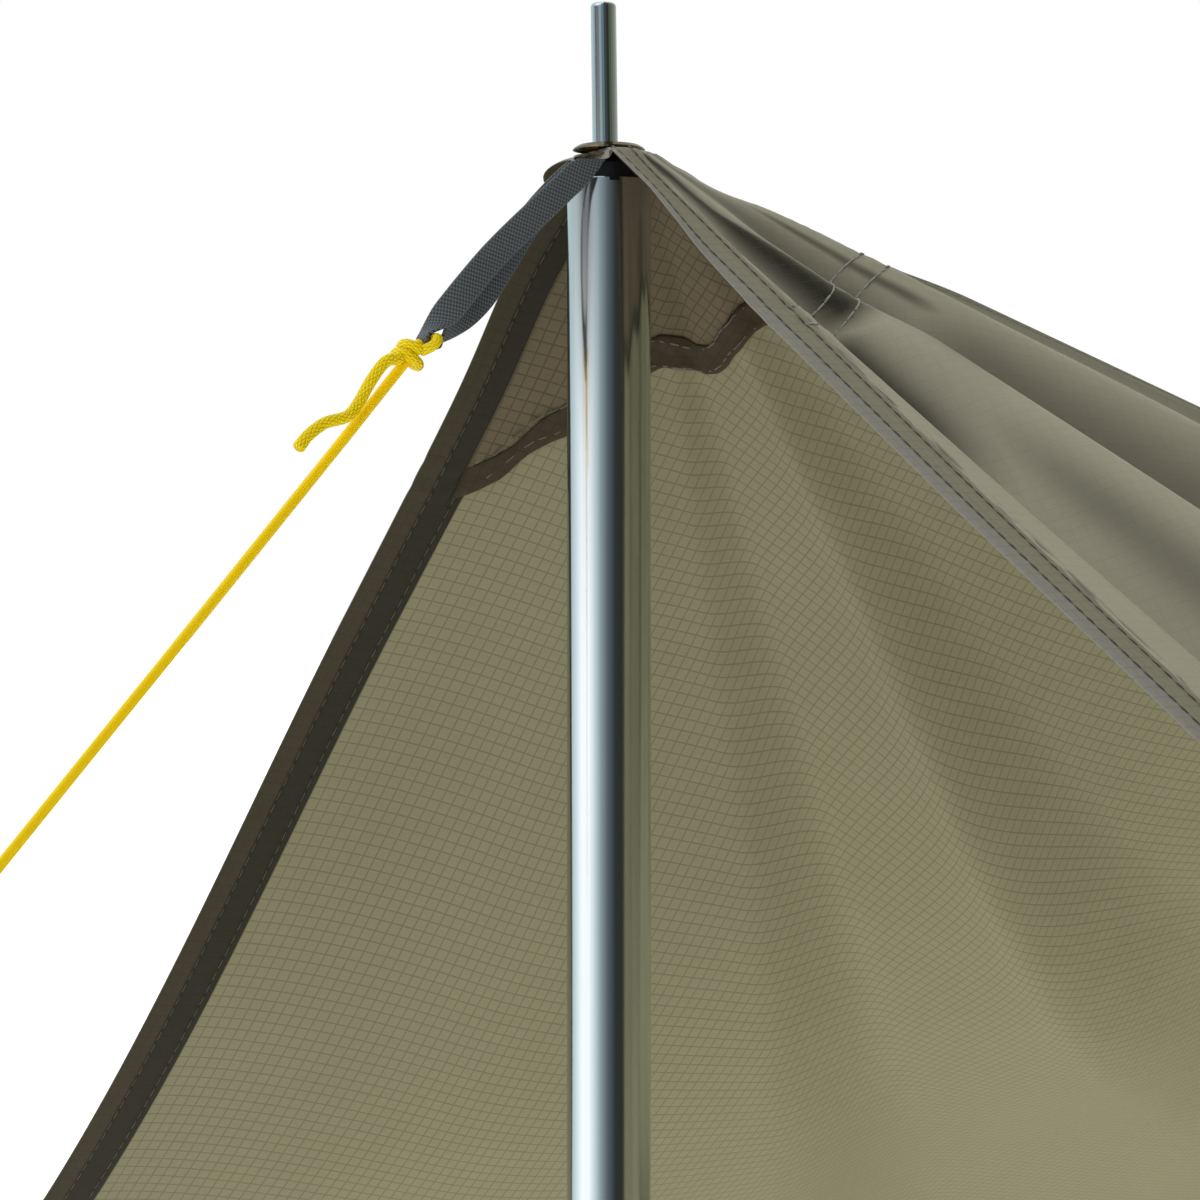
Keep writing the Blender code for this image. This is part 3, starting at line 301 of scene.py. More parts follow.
class Formula:
    """Builds shader nodes from formulas in one node tree."""

    def __init__(self, tree: bpy.types.NodeTree) -> None:
        """Work in this tree."""
        self.tree = tree

    def node(self, kind: str, **settings: object) -> bpy.types.Node:
        """New node.

        Args:
            kind: Blender's name of its type.
            **settings: Value of each of its settings.

        Returns:
            The node.
        """
        made = self.tree.nodes.new(kind)
        for key, value in settings.items():
            setattr(made, key, value)
        return made

    def feed(self, socket: bpy.types.NodeSocket, value: object) -> None:
        """Link a value to a socket, or set it.

        Args:
            socket: Socket that takes the value.
            value: A term or another socket to link, or a plain value.
        """
        if isinstance(value, Term):
            self.tree.links.new(value.socket, socket)
        elif isinstance(value, bpy.types.NodeSocket):
            self.tree.links.new(value, socket)
        else:
            socket.default_value = value

    def math(self, operation: str, *values: "Term | float") -> Term:
        """One Math node over its values.

        Args:
            operation: What it works out.
            *values: Its terms or numbers, in the order of its sockets.

        Returns:
            The result.
        """
        made = self.node("ShaderNodeMath", operation=operation)
        for socket, value in zip(made.inputs, values):
            self.feed(socket, value)
        return Term(self, made.outputs[0])

    def vector(self, operation: str, *values: object) -> bpy.types.Node:
        """One Vector Math node over its values.

        Args:
            operation: What it works out.
            *values: Its vectors or sockets, in the order of its sockets.

        Returns:
            The node.
        """
        made = self.node("ShaderNodeVectorMath", operation=operation)
        for socket, value in zip(made.inputs, values):
            self.feed(socket, value)
        return made

    def scaled(self, value: bpy.types.NodeSocket, share: Term) -> bpy.types.NodeSocket:
        """A vector times a number.

        Args:
            value: Where the vector comes out.
            share: The number.

        Returns:
            Where the product comes out.
        """
        made = self.vector("SCALE", value)
        self.feed(made.inputs["Scale"], share)
        return made.outputs[0]

    def rise(self, value: Term, low: float, high: float) -> Term:
        """Smooth step from 0 at low to 1 at high.

        Args:
            value: What rises.
            low: Where the step starts.
            high: Where it ends.

        Returns:
            A number from 0 to 1.
        """
        made = self.node("ShaderNodeMapRange", interpolation_type="SMOOTHSTEP")
        for socket, number in zip(made.inputs[:5], (value, low, high, 0.0, 1.0)):
            self.feed(socket, number)
        return Term(self, made.outputs[0])

    def bell(self, value: Term, middle: float, width: "Term | float") -> Term:
        """Bell curve of height 1 round a middle."""
        share = (value - middle) / width
        return self.math("EXPONENT", share * share * -1.0)

    def place(self, source: str) -> tuple[Term, Term, Term]:
        """The three numbers of a texture coordinate.

        Args:
            source: Name of the coordinate.

        Returns:
            Its x, y and z.
        """
        split = self.node("ShaderNodeSeparateXYZ")
        self.feed(split.inputs[0], self.node("ShaderNodeTexCoord").outputs[source])
        return tuple(Term(self, out) for out in split.outputs)

    def blend(self, share: "Term | float", first: object, second: object) -> bpy.types.NodeSocket:
        """Colour between two others.

        Args:
            share: How much of the second colour there is.
            first: A colour or a socket.
            second: A colour or a socket.

        Returns:
            The blended colour.
        """
        made = self.node("ShaderNodeMix", data_type="RGBA")
        self.feed(made.inputs[0], share)
        self.feed(made.inputs[6], first)
        self.feed(made.inputs[7], second)
        return made.outputs[2]


class Surface(Formula):
    """One Principled material, its colour, roughness and relief built from formulas."""

    def __init__(self, name: str, roughness: float = 0.6, metallic: float = 0.0,
                 sheen: float = 0.0, specular: float = 0.5) -> None:
        """Make the material.

        Args:
            name: Name of the material.
            roughness: Roughness where no formula sets it.
            metallic: 1 for bare metal.
            sheen: Weight of the cloth sheen.
            specular: Specular level.
        """
        self.material = bpy.data.materials.new(name)
        self.material.use_nodes = True
        super().__init__(self.material.node_tree)
        self.shader = self.tree.nodes["Principled BSDF"]
        for socket, value in (("Roughness", roughness), ("Metallic", metallic),
                              ("Sheen Weight", sheen), ("Specular IOR Level", specular)):
            self.shader.inputs[socket].default_value = value

    def wave(self, value: Term, length: float) -> Term:
        """Sine of a distance with this wavelength."""
        return self.math("SINE", value * (2 * math.pi / length))

    def off_line(self, value: Term, pitch: float) -> Term:
        """Distance to the nearest of a set of lines at an even pitch."""
        return abs(self.math("PINGPONG", value, pitch / 2))

    def grid(self, p: Term, q: Term, core: float, edge: float) -> Term:
        """1 on the ripstop grid's threads, falling to 0 from core to edge beside them."""
        lines = (1.0 - self.rise(self.off_line(value, GRID_CELL), core, edge) for value in (p, q))
        return self.math("MAXIMUM", *lines)

    def weave(self, p: Term, q: Term) -> Term:
        """Plain weave's height: the product of a sine along each set of threads."""
        return self.wave(p, WEAVE_PITCH) * self.wave(q, WEAVE_PITCH)

    def flat_place(self) -> tuple[Term, Term]:
        """The two coordinates that the piece's UV map holds, in metres."""
        return self.place("UV")[:2]

    def solid_place(self) -> tuple[Term, Term, Term]:
        """The object's own coordinates, in metres."""
        return self.place("Object")

    def noise(self, scales: Sequence[float], source: str, detail: float,
              rough: float = 0.55) -> Term:
        """Smooth noise from 0 to 1, scaled along each axis.

        Args:
            scales: Features per metre along x, y and z.
            source: Texture coordinate to use.
            detail: Octaves.
            rough: Strength of the finer octaves.

        Returns:
            The noise.
        """
        place = self.node("ShaderNodeMapping")
        self.feed(place.inputs["Vector"], self.node("ShaderNodeTexCoord").outputs[source])
        place.inputs["Scale"].default_value = tuple(scales)
        made = self.node("ShaderNodeTexNoise")
        self.feed(made.inputs["Vector"], place.outputs[0])
        made.inputs["Scale"].default_value = 1.0
        made.inputs["Detail"].default_value = detail
        made.inputs["Roughness"].default_value = rough
        return Term(self, made.outputs[0])

    def layered(self, parts: Sequence[Term], heights: Sequence[float]) -> Term:
        """Height of several patterns on each other, each times its own."""
        return sum(part * height for part, height in zip(parts, heights))

    def paint(self, colour: object) -> None:
        """Set the base colour."""
        self.feed(self.shader.inputs["Base Color"], colour)

    def polish(self, roughness: "Term | float") -> None:
        """Set the roughness."""
        self.feed(self.shader.inputs["Roughness"], roughness)

    def round_wall(self) -> bpy.types.NodeSocket:
        """Shade the pole's facets as one round wall.

        The normal is the unit vector away from the pole's axis where a face points along it,
        inwards or outwards, and the face's own normal elsewhere.

        Returns:
            The normal.
        """
        face = self.node("ShaderNodeNewGeometry").outputs["True Normal"]
        place = self.node("ShaderNodeTexCoord").outputs["Object"]
        flat = self.vector("MULTIPLY", place, (1.0, 1.0, 0.0))
        away = self.vector("NORMALIZE", flat.outputs[0]).outputs[0]
        lean = Term(self, self.vector("DOT_PRODUCT", face, away).outputs["Value"])
        is_wall = self.math("GREATER_THAN", abs(lean), WALL_LEAN)
        turned = self.scaled(away, is_wall * self.math("SIGN", lean))
        kept = self.scaled(face, 1.0 - is_wall)
        return self.vector("ADD", turned, kept).outputs[0]

    def emboss(self, height: Term, strength: float = 1.0,
               base: bpy.types.NodeSocket | None = None) -> None:
        """Give the surface its relief.

        Args:
            height: Height in metres.
            strength: Share of the relief that shows.
            base: Normal that the relief lies on, or None for the mesh's own.
        """
        bump = self.node("ShaderNodeBump")
        if base is not None:
            self.feed(bump.inputs["Normal"], base)
        bump.inputs["Strength"].default_value = strength
        bump.inputs["Distance"].default_value = 1.0
        self.feed(bump.inputs["Height"], height)
        self.feed(self.shader.inputs["Normal"], bump.outputs[0])


@dataclass(frozen=True)
class RipstopFinish:
    """Coated cloth with a square grid of thicker threads.

    Attributes:
        name: Name of the material.
        base: Main colour.
        tint: Colour that broad patches drift to.
        thread: Colour of the grid's threads.
        contrast: How strongly the grid shows.
        shine: Roughness of the coating.
        painted_shade: Colour of the painted shade deep in the folds at the eyelet and of the
            painted tuck shadows, or None where no shade is painted.
        line: From the middle of a grid thread to where its core ends and where its edge does.
        relief: Height of the weave, the grid and the crinkle.
    """

    name: str
    base: str
    tint: str
    thread: str
    contrast: float
    shine: float
    painted_shade: str | None = None
    line: tuple = (0.08 * MM, 0.42 * MM)
    relief: tuple = (0.012 * MM, 0.05 * MM, 0.8 * MM)

    @staticmethod
    def depth(cloth: Surface, p: Term, q: Term) -> Term:
        """How deep in a fold a flat point lies, as the strength of the painted fold shade there.

        Each fold's painted shade is a bell round its flat angle, times a window along its length.
        The strongest one counts.

        Args:
            cloth: The surface that it is worked out on.
            p: Flat place to the right of the eyelet.
            q: Flat place behind it.

        Returns:
            Strength of the painted shade, from 0 to 1.
        """
        reach = cloth.math("SQRT", p * p + q * q)
        angle = cloth.math("ARCTAN2", q, p * -1.0) * (180 / math.pi)
        total = None
        for middle, width, strength, near, full, leave, end in FOLD_SHADES:
            part = cloth.bell(angle, middle, width) * strength
            part = part * (1.0 - cloth.rise(reach, leave * MM, end * MM))
            if full > 0:
                part = part * cloth.rise(reach, near * MM, full * MM)
            total = part if total is None else cloth.math("MAXIMUM", total, part)
        return total

    @staticmethod
    def tuck_shadows(cloth: Surface, q: Term) -> Term:
        """Painted tuck shadows beside the front hem: noise where it is high, inside a narrow band.

        Args:
            cloth: The surface that it is worked out on.
            q: Flat place behind the eyelet.

        Returns:
            Strength of the painted shadow, from 0 to 1.
        """
        begin, full, leave, end = (HEM_INSIDE + place for place in TUCK_SHADOW_BAND)
        band = cloth.rise(q, begin, full) * (1.0 - cloth.rise(q, leave, end))
        return band * cloth.rise(cloth.noise((60, 380, 1), "UV", 3.0), 0.48, 0.62)

    def material(self) -> bpy.types.Material:
        """Build the material on flat coordinates.

        Returns:
            The material.
        """
        cloth = Surface(self.name, specular=0.06)
        p, q = cloth.flat_place()
        grid = cloth.grid(p, q, *self.line)
        drift = cloth.noise((9, 9, 9), "UV", 4.0)
        slub = cloth.noise((1400, 140, 1), "UV", 2.0)
        colour = cloth.blend(drift, linear(self.base), linear(self.tint))
        # Painted shade deep in the folds at the eyelet.
        if self.painted_shade:
            colour = cloth.blend(self.depth(cloth, p, q), colour, linear(self.painted_shade))
        colour = cloth.blend(grid * self.contrast, colour, linear(self.thread))
        # Painted tuck shadows beside the front hem, in the same shade colour.
        if self.painted_shade:
            colour = cloth.blend(self.tuck_shadows(cloth, q) * 0.6, colour, linear(self.painted_shade))
        cloth.paint(cloth.blend(slub * 0.18, colour, linear(self.thread)))
        cloth.polish(slub * 0.12 + (self.shine - 0.06))
        crinkle = cloth.noise((60, 60, 1), "UV", 4.0)
        cloth.emboss(cloth.layered((cloth.weave(p, q), grid, crinkle), self.relief))
        return cloth.material


@dataclass(frozen=True)
class HemFinish:
    """Doubled cloth along an edge, with its two stitch rows pressed in.

    Attributes:
        name: Name of the material.
        base: Colour of the middle of the hem.
        outer: Colour of the strip outside the first stitch row.
        thread: Colour of the stitching.
        contrast: How strongly the ripstop grid shows.
        edged: Whether the distances are from the tarp's edge; otherwise from the ridge.
        grid_shade: Colour of the grid's threads.
        groove_painted_shade: Colour of the painted shade in the grooves that the stitches press.
        line: From the middle of a grid thread to where its core ends and where its edge does.
        groove: From a stitch row to where its groove rises and where it ends.
        thread_edge: From a stitch row to where the drawn thread's edge starts and ends.
        gap: From the middle between two drawn stitches to where the next starts and is full.
        relief: Height of the puckers, weave, grid, grooves, drawn thread and crinkle.
    """

    name: str
    base: str
    outer: str
    thread: str
    contrast: float
    edged: bool = True
    grid_shade: str = "2a2721"
    groove_painted_shade: str = "26231d"
    line: tuple = (0.15 * MM, 0.5 * MM)
    groove: tuple = (0.2 * MM, 1.1 * MM)
    thread_edge: tuple = (0.25 * MM, 0.4 * MM)
    gap: tuple = (0.5 * MM, 0.9 * MM)
    relief: tuple = (0.12 * MM, 0.012 * MM, 0.04 * MM, -0.15 * MM, 0.3 * MM, 0.5 * MM)

    def material(self) -> bpy.types.Material:
        """Build the material on flat coordinates.

        Returns:
            The material.
        """
        hem = Surface(self.name, specular=0.08)
        p, q = hem.flat_place()
        if self.edged:
            inset = hem.math("MINIMUM", q + SETBACK, HALF_WIDTH - abs(p))
            inset = hem.math("MINIMUM", inset, REAR - q)
            row = hem.math("MINIMUM", *(abs(inset - place) for place in STITCH_ROWS))
        else:
            inset = abs(p)
            row = abs(inset - SEAM_ROW)
        groove = 1.0 - hem.rise(row, *self.groove)
        along = p + q
        dash = hem.rise(hem.off_line(along, STITCH_PITCH), *self.gap)
        thread = (1.0 - hem.rise(row, *self.thread_edge)) * dash
        reach = hem.math("SQRT", p * p + q * q)
        far = hem.rise(reach, CLOSE_UP - CLOSE_UP_FADE, CLOSE_UP) * (1.0 if self.edged else 0.2)
        grid = hem.grid(p, q + 1.3 * MM, *self.line)
        strip = 1.0 - hem.rise(inset, STITCH_ROWS[0] - 1.5 * MM, STITCH_ROWS[0] + 0.5 * MM)
        drift = hem.noise((40, 40, 1), "UV", 3.0)
        colour = hem.blend(strip, linear(self.base), linear(self.outer))
        colour = hem.blend(grid * self.contrast, colour, linear(self.grid_shade))
        # Painted shade in the grooves that the stitches press.
        colour = hem.blend(groove * 0.35, colour, linear(self.groove_painted_shade))
        colour = hem.blend(drift * 0.25, colour, linear(self.base))
        hem.paint(hem.blend(thread * far * 0.8, colour, linear(self.thread)))
        hem.polish(drift * 0.15 + 0.55)
        pucker = hem.wave(along, STITCH_PITCH) * (1.0 - hem.rise(row, 0.0, 3.0 * MM))
        parts = (pucker, hem.weave(p, q), grid, groove, thread * far, drift)
        hem.emboss(hem.layered(parts, self.relief))
        return hem.material


@dataclass(frozen=True)
class ThreadFinish:
    """Twisted sewing thread.

    Attributes:
        name: Name of the material.
        colour: Colour of the thread.
        shade: Colour of the painted shade between its plies.
        twist: Length of a turn of its plies.
        relief: Height of its plies.
    """

    name: str
    colour: str
    shade: str = "3b3831"
    twist: float = 0.5 * MM
    relief: float = 0.04 * MM

    def material(self) -> bpy.types.Material:
        """Build the material.

        Returns:
            The material.
        """
        thread = Surface(self.name, roughness=0.6, sheen=0.2)
        x, y, z = thread.solid_place()
        ply = thread.wave(x + y + z, self.twist)
        # Painted shade between the plies.
        thread.paint(thread.blend(ply * 0.5 + 0.5, linear(self.colour), linear(self.shade)))
        thread.emboss(ply * self.relief)
        return thread.material


@dataclass(frozen=True)
class WebbingFinish:
    """Tightly woven flat strap: diagonal ribs, with a painted highlight along both selvedges.

    Attributes:
        name: Name of the material.
        crest: Colour on top of the ribs.
        valley: Colour of the painted shade between them.
        width: Width of the strap.
        selvedge: Colour of the painted highlight along its edges.
        pitches: Distance between ribs each way.
        relief: Height of the ribs and of the fuzz.
    """

    name: str
    crest: str
    valley: str
    width: float
    selvedge: str = "6d7174"
    pitches: tuple = (1.5 * MM, 1.7 * MM)
    relief: tuple = (0.16 * MM, 0.05 * MM)

    def material(self) -> bpy.types.Material:
        """Build the material: u runs along the strap and v across it.

        Returns:
            The material.
        """
        strap = Surface(self.name, sheen=0.08, specular=0.25)
        u, v = strap.flat_place()
        weft, warp = self.pitches
        pick = strap.wave(u + v * 0.35, weft) * strap.wave(v - u * 0.12, warp)
        weave = 0.5 + pick * 0.5
        fuzz = strap.noise((900, 900, 900), "Object", 2.0)
        drift = strap.noise((60, 60, 60), "Object", 3.0)
        # Painted shade between the ribs, the crest colour on their tops.
        colour = strap.blend(weave, linear(self.valley), linear(self.crest))
        # Painted highlight along both edges of the strap.
        edge = strap.rise(abs(v), self.width / 2 - 0.9 * MM, self.width / 2 - 0.2 * MM)
        colour = strap.blend(edge * 0.35, colour, linear(self.selvedge))
        strap.paint(strap.blend(drift * 0.3, colour, linear(self.valley)))
        strap.polish(fuzz * 0.2 + 0.5)
        strap.emboss(strap.layered((weave, fuzz), self.relief))
        return strap.material


@dataclass(frozen=True)
class BraidFinish:
    """Braided cord: two sets of strands that cross in rows of grains.

    Attributes:
        name: Name of the material.
        crest: Colour on the strands.
        valley: Colour of the painted shade between strands.
        grain: Length of a grain along the cord.
        strands: Grains round the cord.
        relief: Depth between strands.
        shade: Colour that broad patches drift to.
        fibre_relief: Height of single fibres.
    """

    name: str
    crest: str
    valley: str
    grain: float
    strands: int
    relief: float
    shade: str = "e3b800"
    fibre_relief: float = 0.02 * MM

    def material(self) -> bpy.types.Material:
        """Build the material: u runs along the cord and v, from 0 to 1, round it.

        Returns:
            The material.
        """
        cord = Surface(self.name, roughness=0.45, specular=0.22)
        u, v = cord.flat_place()
        turn = v * (2 * math.pi * self.strands / 2)
        along = u * (2 * math.pi / self.grain)
        one = abs(cord.math("SINE", along * 0.5 + turn))
        two = abs(cord.math("SINE", along * 0.5 - turn))
        grains = cord.math("MULTIPLY", one, two)
        fibre = cord.noise((2500, 2500, 600), "Object", 2.0)
        drift = cord.noise((120, 120, 120), "Object", 2.0)
        full = cord.rise(grains, 0.02, 0.42)
        # Painted shade between the strands, the crest colour on their grains.
        colour = cord.blend(full, linear(self.valley), linear(self.crest))
        colour = cord.blend(drift * 0.35, colour, linear(self.shade))
        cord.paint(cord.blend(fibre * 0.15, colour, linear(self.valley)))
        cord.polish(fibre * 0.2 + 0.32)
        cord.emboss(grains * self.relief + fibre * self.fibre_relief)
        return cord.material


class Metal(Enum):
    """Bare metals of the pole and its fittings: name, light and dark colour, roughness."""

    ALUMINIUM = ("satin_aluminium_drawn", "d3d8da", "bcc2c5", 0.14)
    ZINC = ("zinc_plate", "dde6ea", "a9b6bd", 0.10)
    EYELET = ("eyelet_brass", "85745a", "40372b", 0.14)


@dataclass(frozen=True)
class MetalFinish:
    """Metal with marks of how it was made and how it was handled.

    Attributes:
        metal: Which metal.
        upright: Whether draw lines run up and down.
        relief: Height of the draw lines, of an even grain instead, of scratches and of nicks.
    """

    metal: Metal
    upright: bool = True
    relief: tuple = (0.0008 * MM, 0.01 * MM, -0.002 * MM, -0.004 * MM)

    def material(self) -> bpy.types.Material:
        """Build the material on the object's own coordinates.

        Returns:
            The material.
        """
        name, light, dark, shine = self.metal.value
        metal = Surface(name, metallic=1.0)
        scales = (5200, 5200, 5) if self.upright else (500, 500, 500)
        drawn = metal.noise(scales, "Object", 2.0)
        smudge = metal.noise((45, 45, 12), "Object", 4.0)
        scratch = metal.noise((900, 900, 9), "Object", 1.0)
        line = metal.rise(scratch, 0.71, 0.74)
        mark = metal.noise((160, 160, 240), "Object", 5.0, 0.7)
        nick = metal.rise(mark, 0.74, 0.78)
        colour = metal.blend(drawn * 0.45 + smudge * 0.35, linear(light), linear(dark))
        metal.paint(metal.blend(nick * 0.4, colour, linear(dark)))
        metal.polish(drawn * 0.10 + smudge * 0.08 + nick * 0.12 + (shine - 0.08))
        lines, grain, *marks = self.relief
        heights = (lines if self.upright else grain, *marks)
        metal.emboss(metal.layered((drawn, line, nick), heights), 0.8,
                     metal.round_wall() if self.upright else None)
        return metal.material


@dataclass(frozen=True)
class MouldedFinish:
    """Moulded plastic or rubber with a fine grain and scuffed high spots.

    Attributes:
        name: Name of the material.
        base: Its own colour.
        worn: Colour of the scuffs.
        shine: Roughness of the clean surface.
        relief: Height of the grain and of the scuffs.
    """

    name: str
    base: str
    worn: str
    shine: float
    relief: tuple = (0.03 * MM, -0.01 * MM)

    def material(self) -> bpy.types.Material:
        """Build the material.

        Returns:
            The material.
        """
        body = Surface(self.name, specular=0.4)
        grain = body.noise((2600, 2600, 2600), "Object", 2.0)
        scuff = body.noise((260, 260, 260), "Object", 5.0, 0.7)
        worn = body.rise(scuff, 0.55, 0.8)
        body.paint(body.blend(worn * 0.5, linear(self.base), linear(self.worn)))
        body.polish(grain * 0.12 + worn * 0.15 + self.shine)
        body.emboss(body.layered((grain, worn), self.relief))
        return body.material


# Meshes


def publish(name: str, vertices: np.ndarray, faces: list, uvs: np.ndarray | None,
            materials: Sequence[bpy.types.Material], slots: np.ndarray | None = None,
            smooth: bool = True) -> bpy.types.Object:
    """Mesh object at the world origin.

    Args:
        name: Name of the piece.
        vertices: Points, one row each.
        faces: Corner numbers of each face.
        uvs: Flat coordinates of each face's corners in turn, or None.
        materials: Materials of its slots.
        slots: Material slot of each face.
        smooth: Whether it is shaded smooth.

    Returns:
        The new object.
    """
    mesh = bpy.data.meshes.new(name)
    mesh.from_pydata(vertices.tolist(), [], faces)
    for material in materials:
        mesh.materials.append(material)
    if uvs is not None:
        mesh.uv_layers.new(name="flat").data.foreach_set("uv", uvs.ravel())
    if slots is not None:
        mesh.polygons.foreach_set("material_index", np.asarray(slots, dtype=np.int32))
    mesh.polygons.foreach_set("use_smooth", np.full(len(mesh.polygons), smooth))
    mesh.update()
    item = bpy.data.objects.new(name, mesh)
    bpy.context.scene.collection.objects.link(item)
    LOG.info("%s: %d faces", name, len(mesh.polygons))
    return item


def closed_sheet(name: str, top: np.ndarray, bottom: np.ndarray, flat: np.ndarray,
                 materials: Sequence[bpy.types.Material], keep: np.ndarray | None = None,
                 first: int = 0) -> bpy.types.Object:
    """Closed solid between two grids of points that share their layout.

    Each cell gives a quad on both grids, and a wall closes every cell edge that no other cell
    shares.

    Args:
        name: Name of the piece.
        top: Points of the weather face, by row and column.
        bottom: Points of the inner face.
        flat: Flat coordinates of each grid place.
        materials: Material of the weather face, then of the inner one.
        keep: Which cells stay, by row and column of cells.
        first: Corner that each cell starts with; a cell splits from it to the opposite one.

    Returns:
        The new object.
    """
    rows, columns = top.shape[:2]
    number = np.arange(rows * columns).reshape(rows, columns)
    quads = np.stack([number[:-1, :-1], number[:-1, 1:], number[1:, 1:], number[1:, :-1]], -1)
    quads = np.roll(quads.reshape(-1, 4) if keep is None else quads[keep], -first, axis=1)
    start, end = quads.ravel(), np.roll(quads, -1, axis=1).ravel()
    count = rows * columns
    forward, backward = start * count + end, end * count + start
    rim = ~np.isin(forward, backward)
    a, b = start[rim], end[rim]
    walls = np.stack([b, a, a + count, b + count], -1)
    faces = np.concatenate([quads, quads[:, (0, 3, 2, 1)] + count, walls])
    used, packed = np.unique(faces, return_inverse=True)
    vertices = np.concatenate([top.reshape(-1, 3), bottom.reshape(-1, 3)])[used]
    uvs = np.concatenate([flat.reshape(-1, 2)] * 2)[faces.ravel()]
    inside = len(materials) - 1
    slots = np.repeat([0, inside, 0], [len(quads), len(quads), len(walls)])
    return publish(name, vertices, packed.reshape(-1, 4).tolist(), uvs, materials, slots)


def unit(vectors: np.ndarray) -> np.ndarray:
    """Vectors over their lengths."""
    return vectors / np.linalg.norm(vectors, axis=-1, keepdims=True)


def rounding(share: np.ndarray, steepness: float, least: float) -> np.ndarray:
    """Thickness across a strip as a share of the middle's: a quarter circle up from both edges.

    Args:
        share: Place across the strip, from 0 to 1.
        steepness: How many times shorter than half the strip the rounded edge is.
        least: Place on the circle where the edge starts.

    Returns:
        Share from 0 to 1.
    """
    edge = np.minimum(share, 1 - share) * 2
    return np.sqrt(1 - (1 - np.clip(edge * steepness, least, 1)) ** 2)


def run(line: np.ndarray) -> np.ndarray:
    """Distance along a line of points at each of them."""
    return np.concatenate([[0], np.cumsum(np.linalg.norm(np.diff(line, axis=0), axis=1))])


def spline(points: Sequence[Sequence[float]], steps: int) -> np.ndarray:
    """Catmull-Rom curve through points.

    Args:
        points: Places that the curve passes through.
        steps: Steps in each span.

    Returns:
        Points of the curve, one row each.
    """
    knots = np.asarray(points, float)
    knots = np.vstack([knots[0] * 2 - knots[1], knots, knots[-1] * 2 - knots[-2]])
    t = np.linspace(0, 1, steps, endpoint=False)[:, None]
    spans = [0.5 * (2 * b + (c - a) * t + (2 * a - 5 * b + 4 * c - d) * t * t
                    + (3 * b - a - 3 * c + d) * t ** 3)
             for a, b, c, d in zip(knots, knots[1:], knots[2:], knots[3:])]
    return np.vstack([*spans, knots[-2]])


def route(points: Sequence[Sequence[float]], spacing: float) -> np.ndarray:
    """Points at an even spacing on a Catmull-Rom curve.

    Args:
        points: Places that the curve passes through, in metres.
        spacing: Distance between the points returned.

    Returns:
        Points of the curve, one row each.
    """
    dense = spline(points, SPLINE_STEPS)
    length = run(dense)
    at = np.linspace(0, length[-1], max(2, round(length[-1] / spacing) + 1))
    return np.stack([np.interp(at, length, dense[:, k]) for k in range(3)], -1)


def carried_frames(line: np.ndarray, closed: bool) -> tuple[np.ndarray, np.ndarray]:
    """Two unit directions square to a line, carried along it without twist.

    Args:
        line: Points of the line.
        closed: Whether it is a ring.

    Returns:
        Both directions at each point.
    """
    if closed:
        tangent = np.roll(line, -1, axis=0) - np.roll(line, 1, axis=0)
    else:
        tangent = np.gradient(line, axis=0)
    tangent /= np.linalg.norm(tangent, axis=1, keepdims=True)
    seed = np.array([1.0, 0.0, 0.0]) if abs(tangent[0, 0]) < 0.8 else np.array([0.0, 0.0, 1.0])
    first = []
    for direction in tangent:
        seed = seed - direction * seed.dot(direction)
        seed = seed / np.linalg.norm(seed)
        first.append(seed)
    first = np.array(first)
    return first, np.cross(tangent, first)


def tube(name: str, line: np.ndarray, radius: float, material: bpy.types.Material, sides: int,
         closed: bool = False,
         swell: Callable[[np.ndarray], np.ndarray] | None = None) -> bpy.types.Object:
    """Round tube along a line, with domed ends: a circle carried along the line without twist.

    Args:
        name: Name of the piece.
        line: Points along its middle.
        radius: Radius of the tube.
        material: Its material.
        sides: Faces round it.
        closed: Whether the line is a ring.
        swell: Factor of the radius at a share of the length.

    Returns:
        The new object.
    """
    first, second = carried_frames(line, closed)
    count = len(line)
    wide = radius * (swell(np.linspace(0, 1, count)) if swell else np.ones(count))
    centre = line
    if not closed:
        tangent = unit(np.gradient(line, axis=0))
        dome = np.array(DOME)[:, None]
        rise = np.sqrt(1 - dome ** 2) * DOME_HEIGHT
        centre = np.vstack([line[0] - tangent[0] * wide[0] * rise, line,
                            line[-1] + tangent[-1] * wide[-1] * rise[::-1]])
        tip = np.maximum(dome[:, 0], DOME_TIP)
        wide = np.concatenate([wide[0] * tip, wide, wide[-1] * tip[::-1]])
        ends = ((len(dome), len(dome)), (0, 0))
        first, second = np.pad(first, ends, mode="edge"), np.pad(second, ends, mode="edge")
    turn = np.linspace(0, 2 * math.pi, sides, endpoint=False)
    cosine, sine = np.cos(turn)[None, :, None], np.sin(turn)[None, :, None]
    ring = cosine * first[:, None] + sine * second[:, None]
    vertices = (centre[:, None] + ring * wide[:, None, None]).reshape(-1, 3)
    number = np.arange(len(centre) * sides).reshape(len(centre), sides)
    after = np.roll(number, -1, axis=0) if closed else number[1:]
    before = number if closed else number[:-1]
    quads = np.stack([before, np.roll(before, -1, axis=1), np.roll(after, -1, axis=1), after], -1)
    quads = quads.reshape(-1, 4)
    faces = quads.tolist()
    along = run(centre)
    around = quads % sides
    wraps = (np.ptp(around, axis=1, keepdims=True) > 1) & (around == 0)
    uvs = np.stack([along[quads // sides], (around + sides * wraps) / sides], -1).reshape(-1, 2)
    if not closed:
        faces += [number[0, ::-1].tolist(), number[-1].tolist()]
        caps = np.repeat(along[[0, -1]], sides)
        uvs = np.concatenate([uvs, np.stack([caps, np.zeros_like(caps)], -1)])
    return publish(name, vertices, faces, uvs, [material])


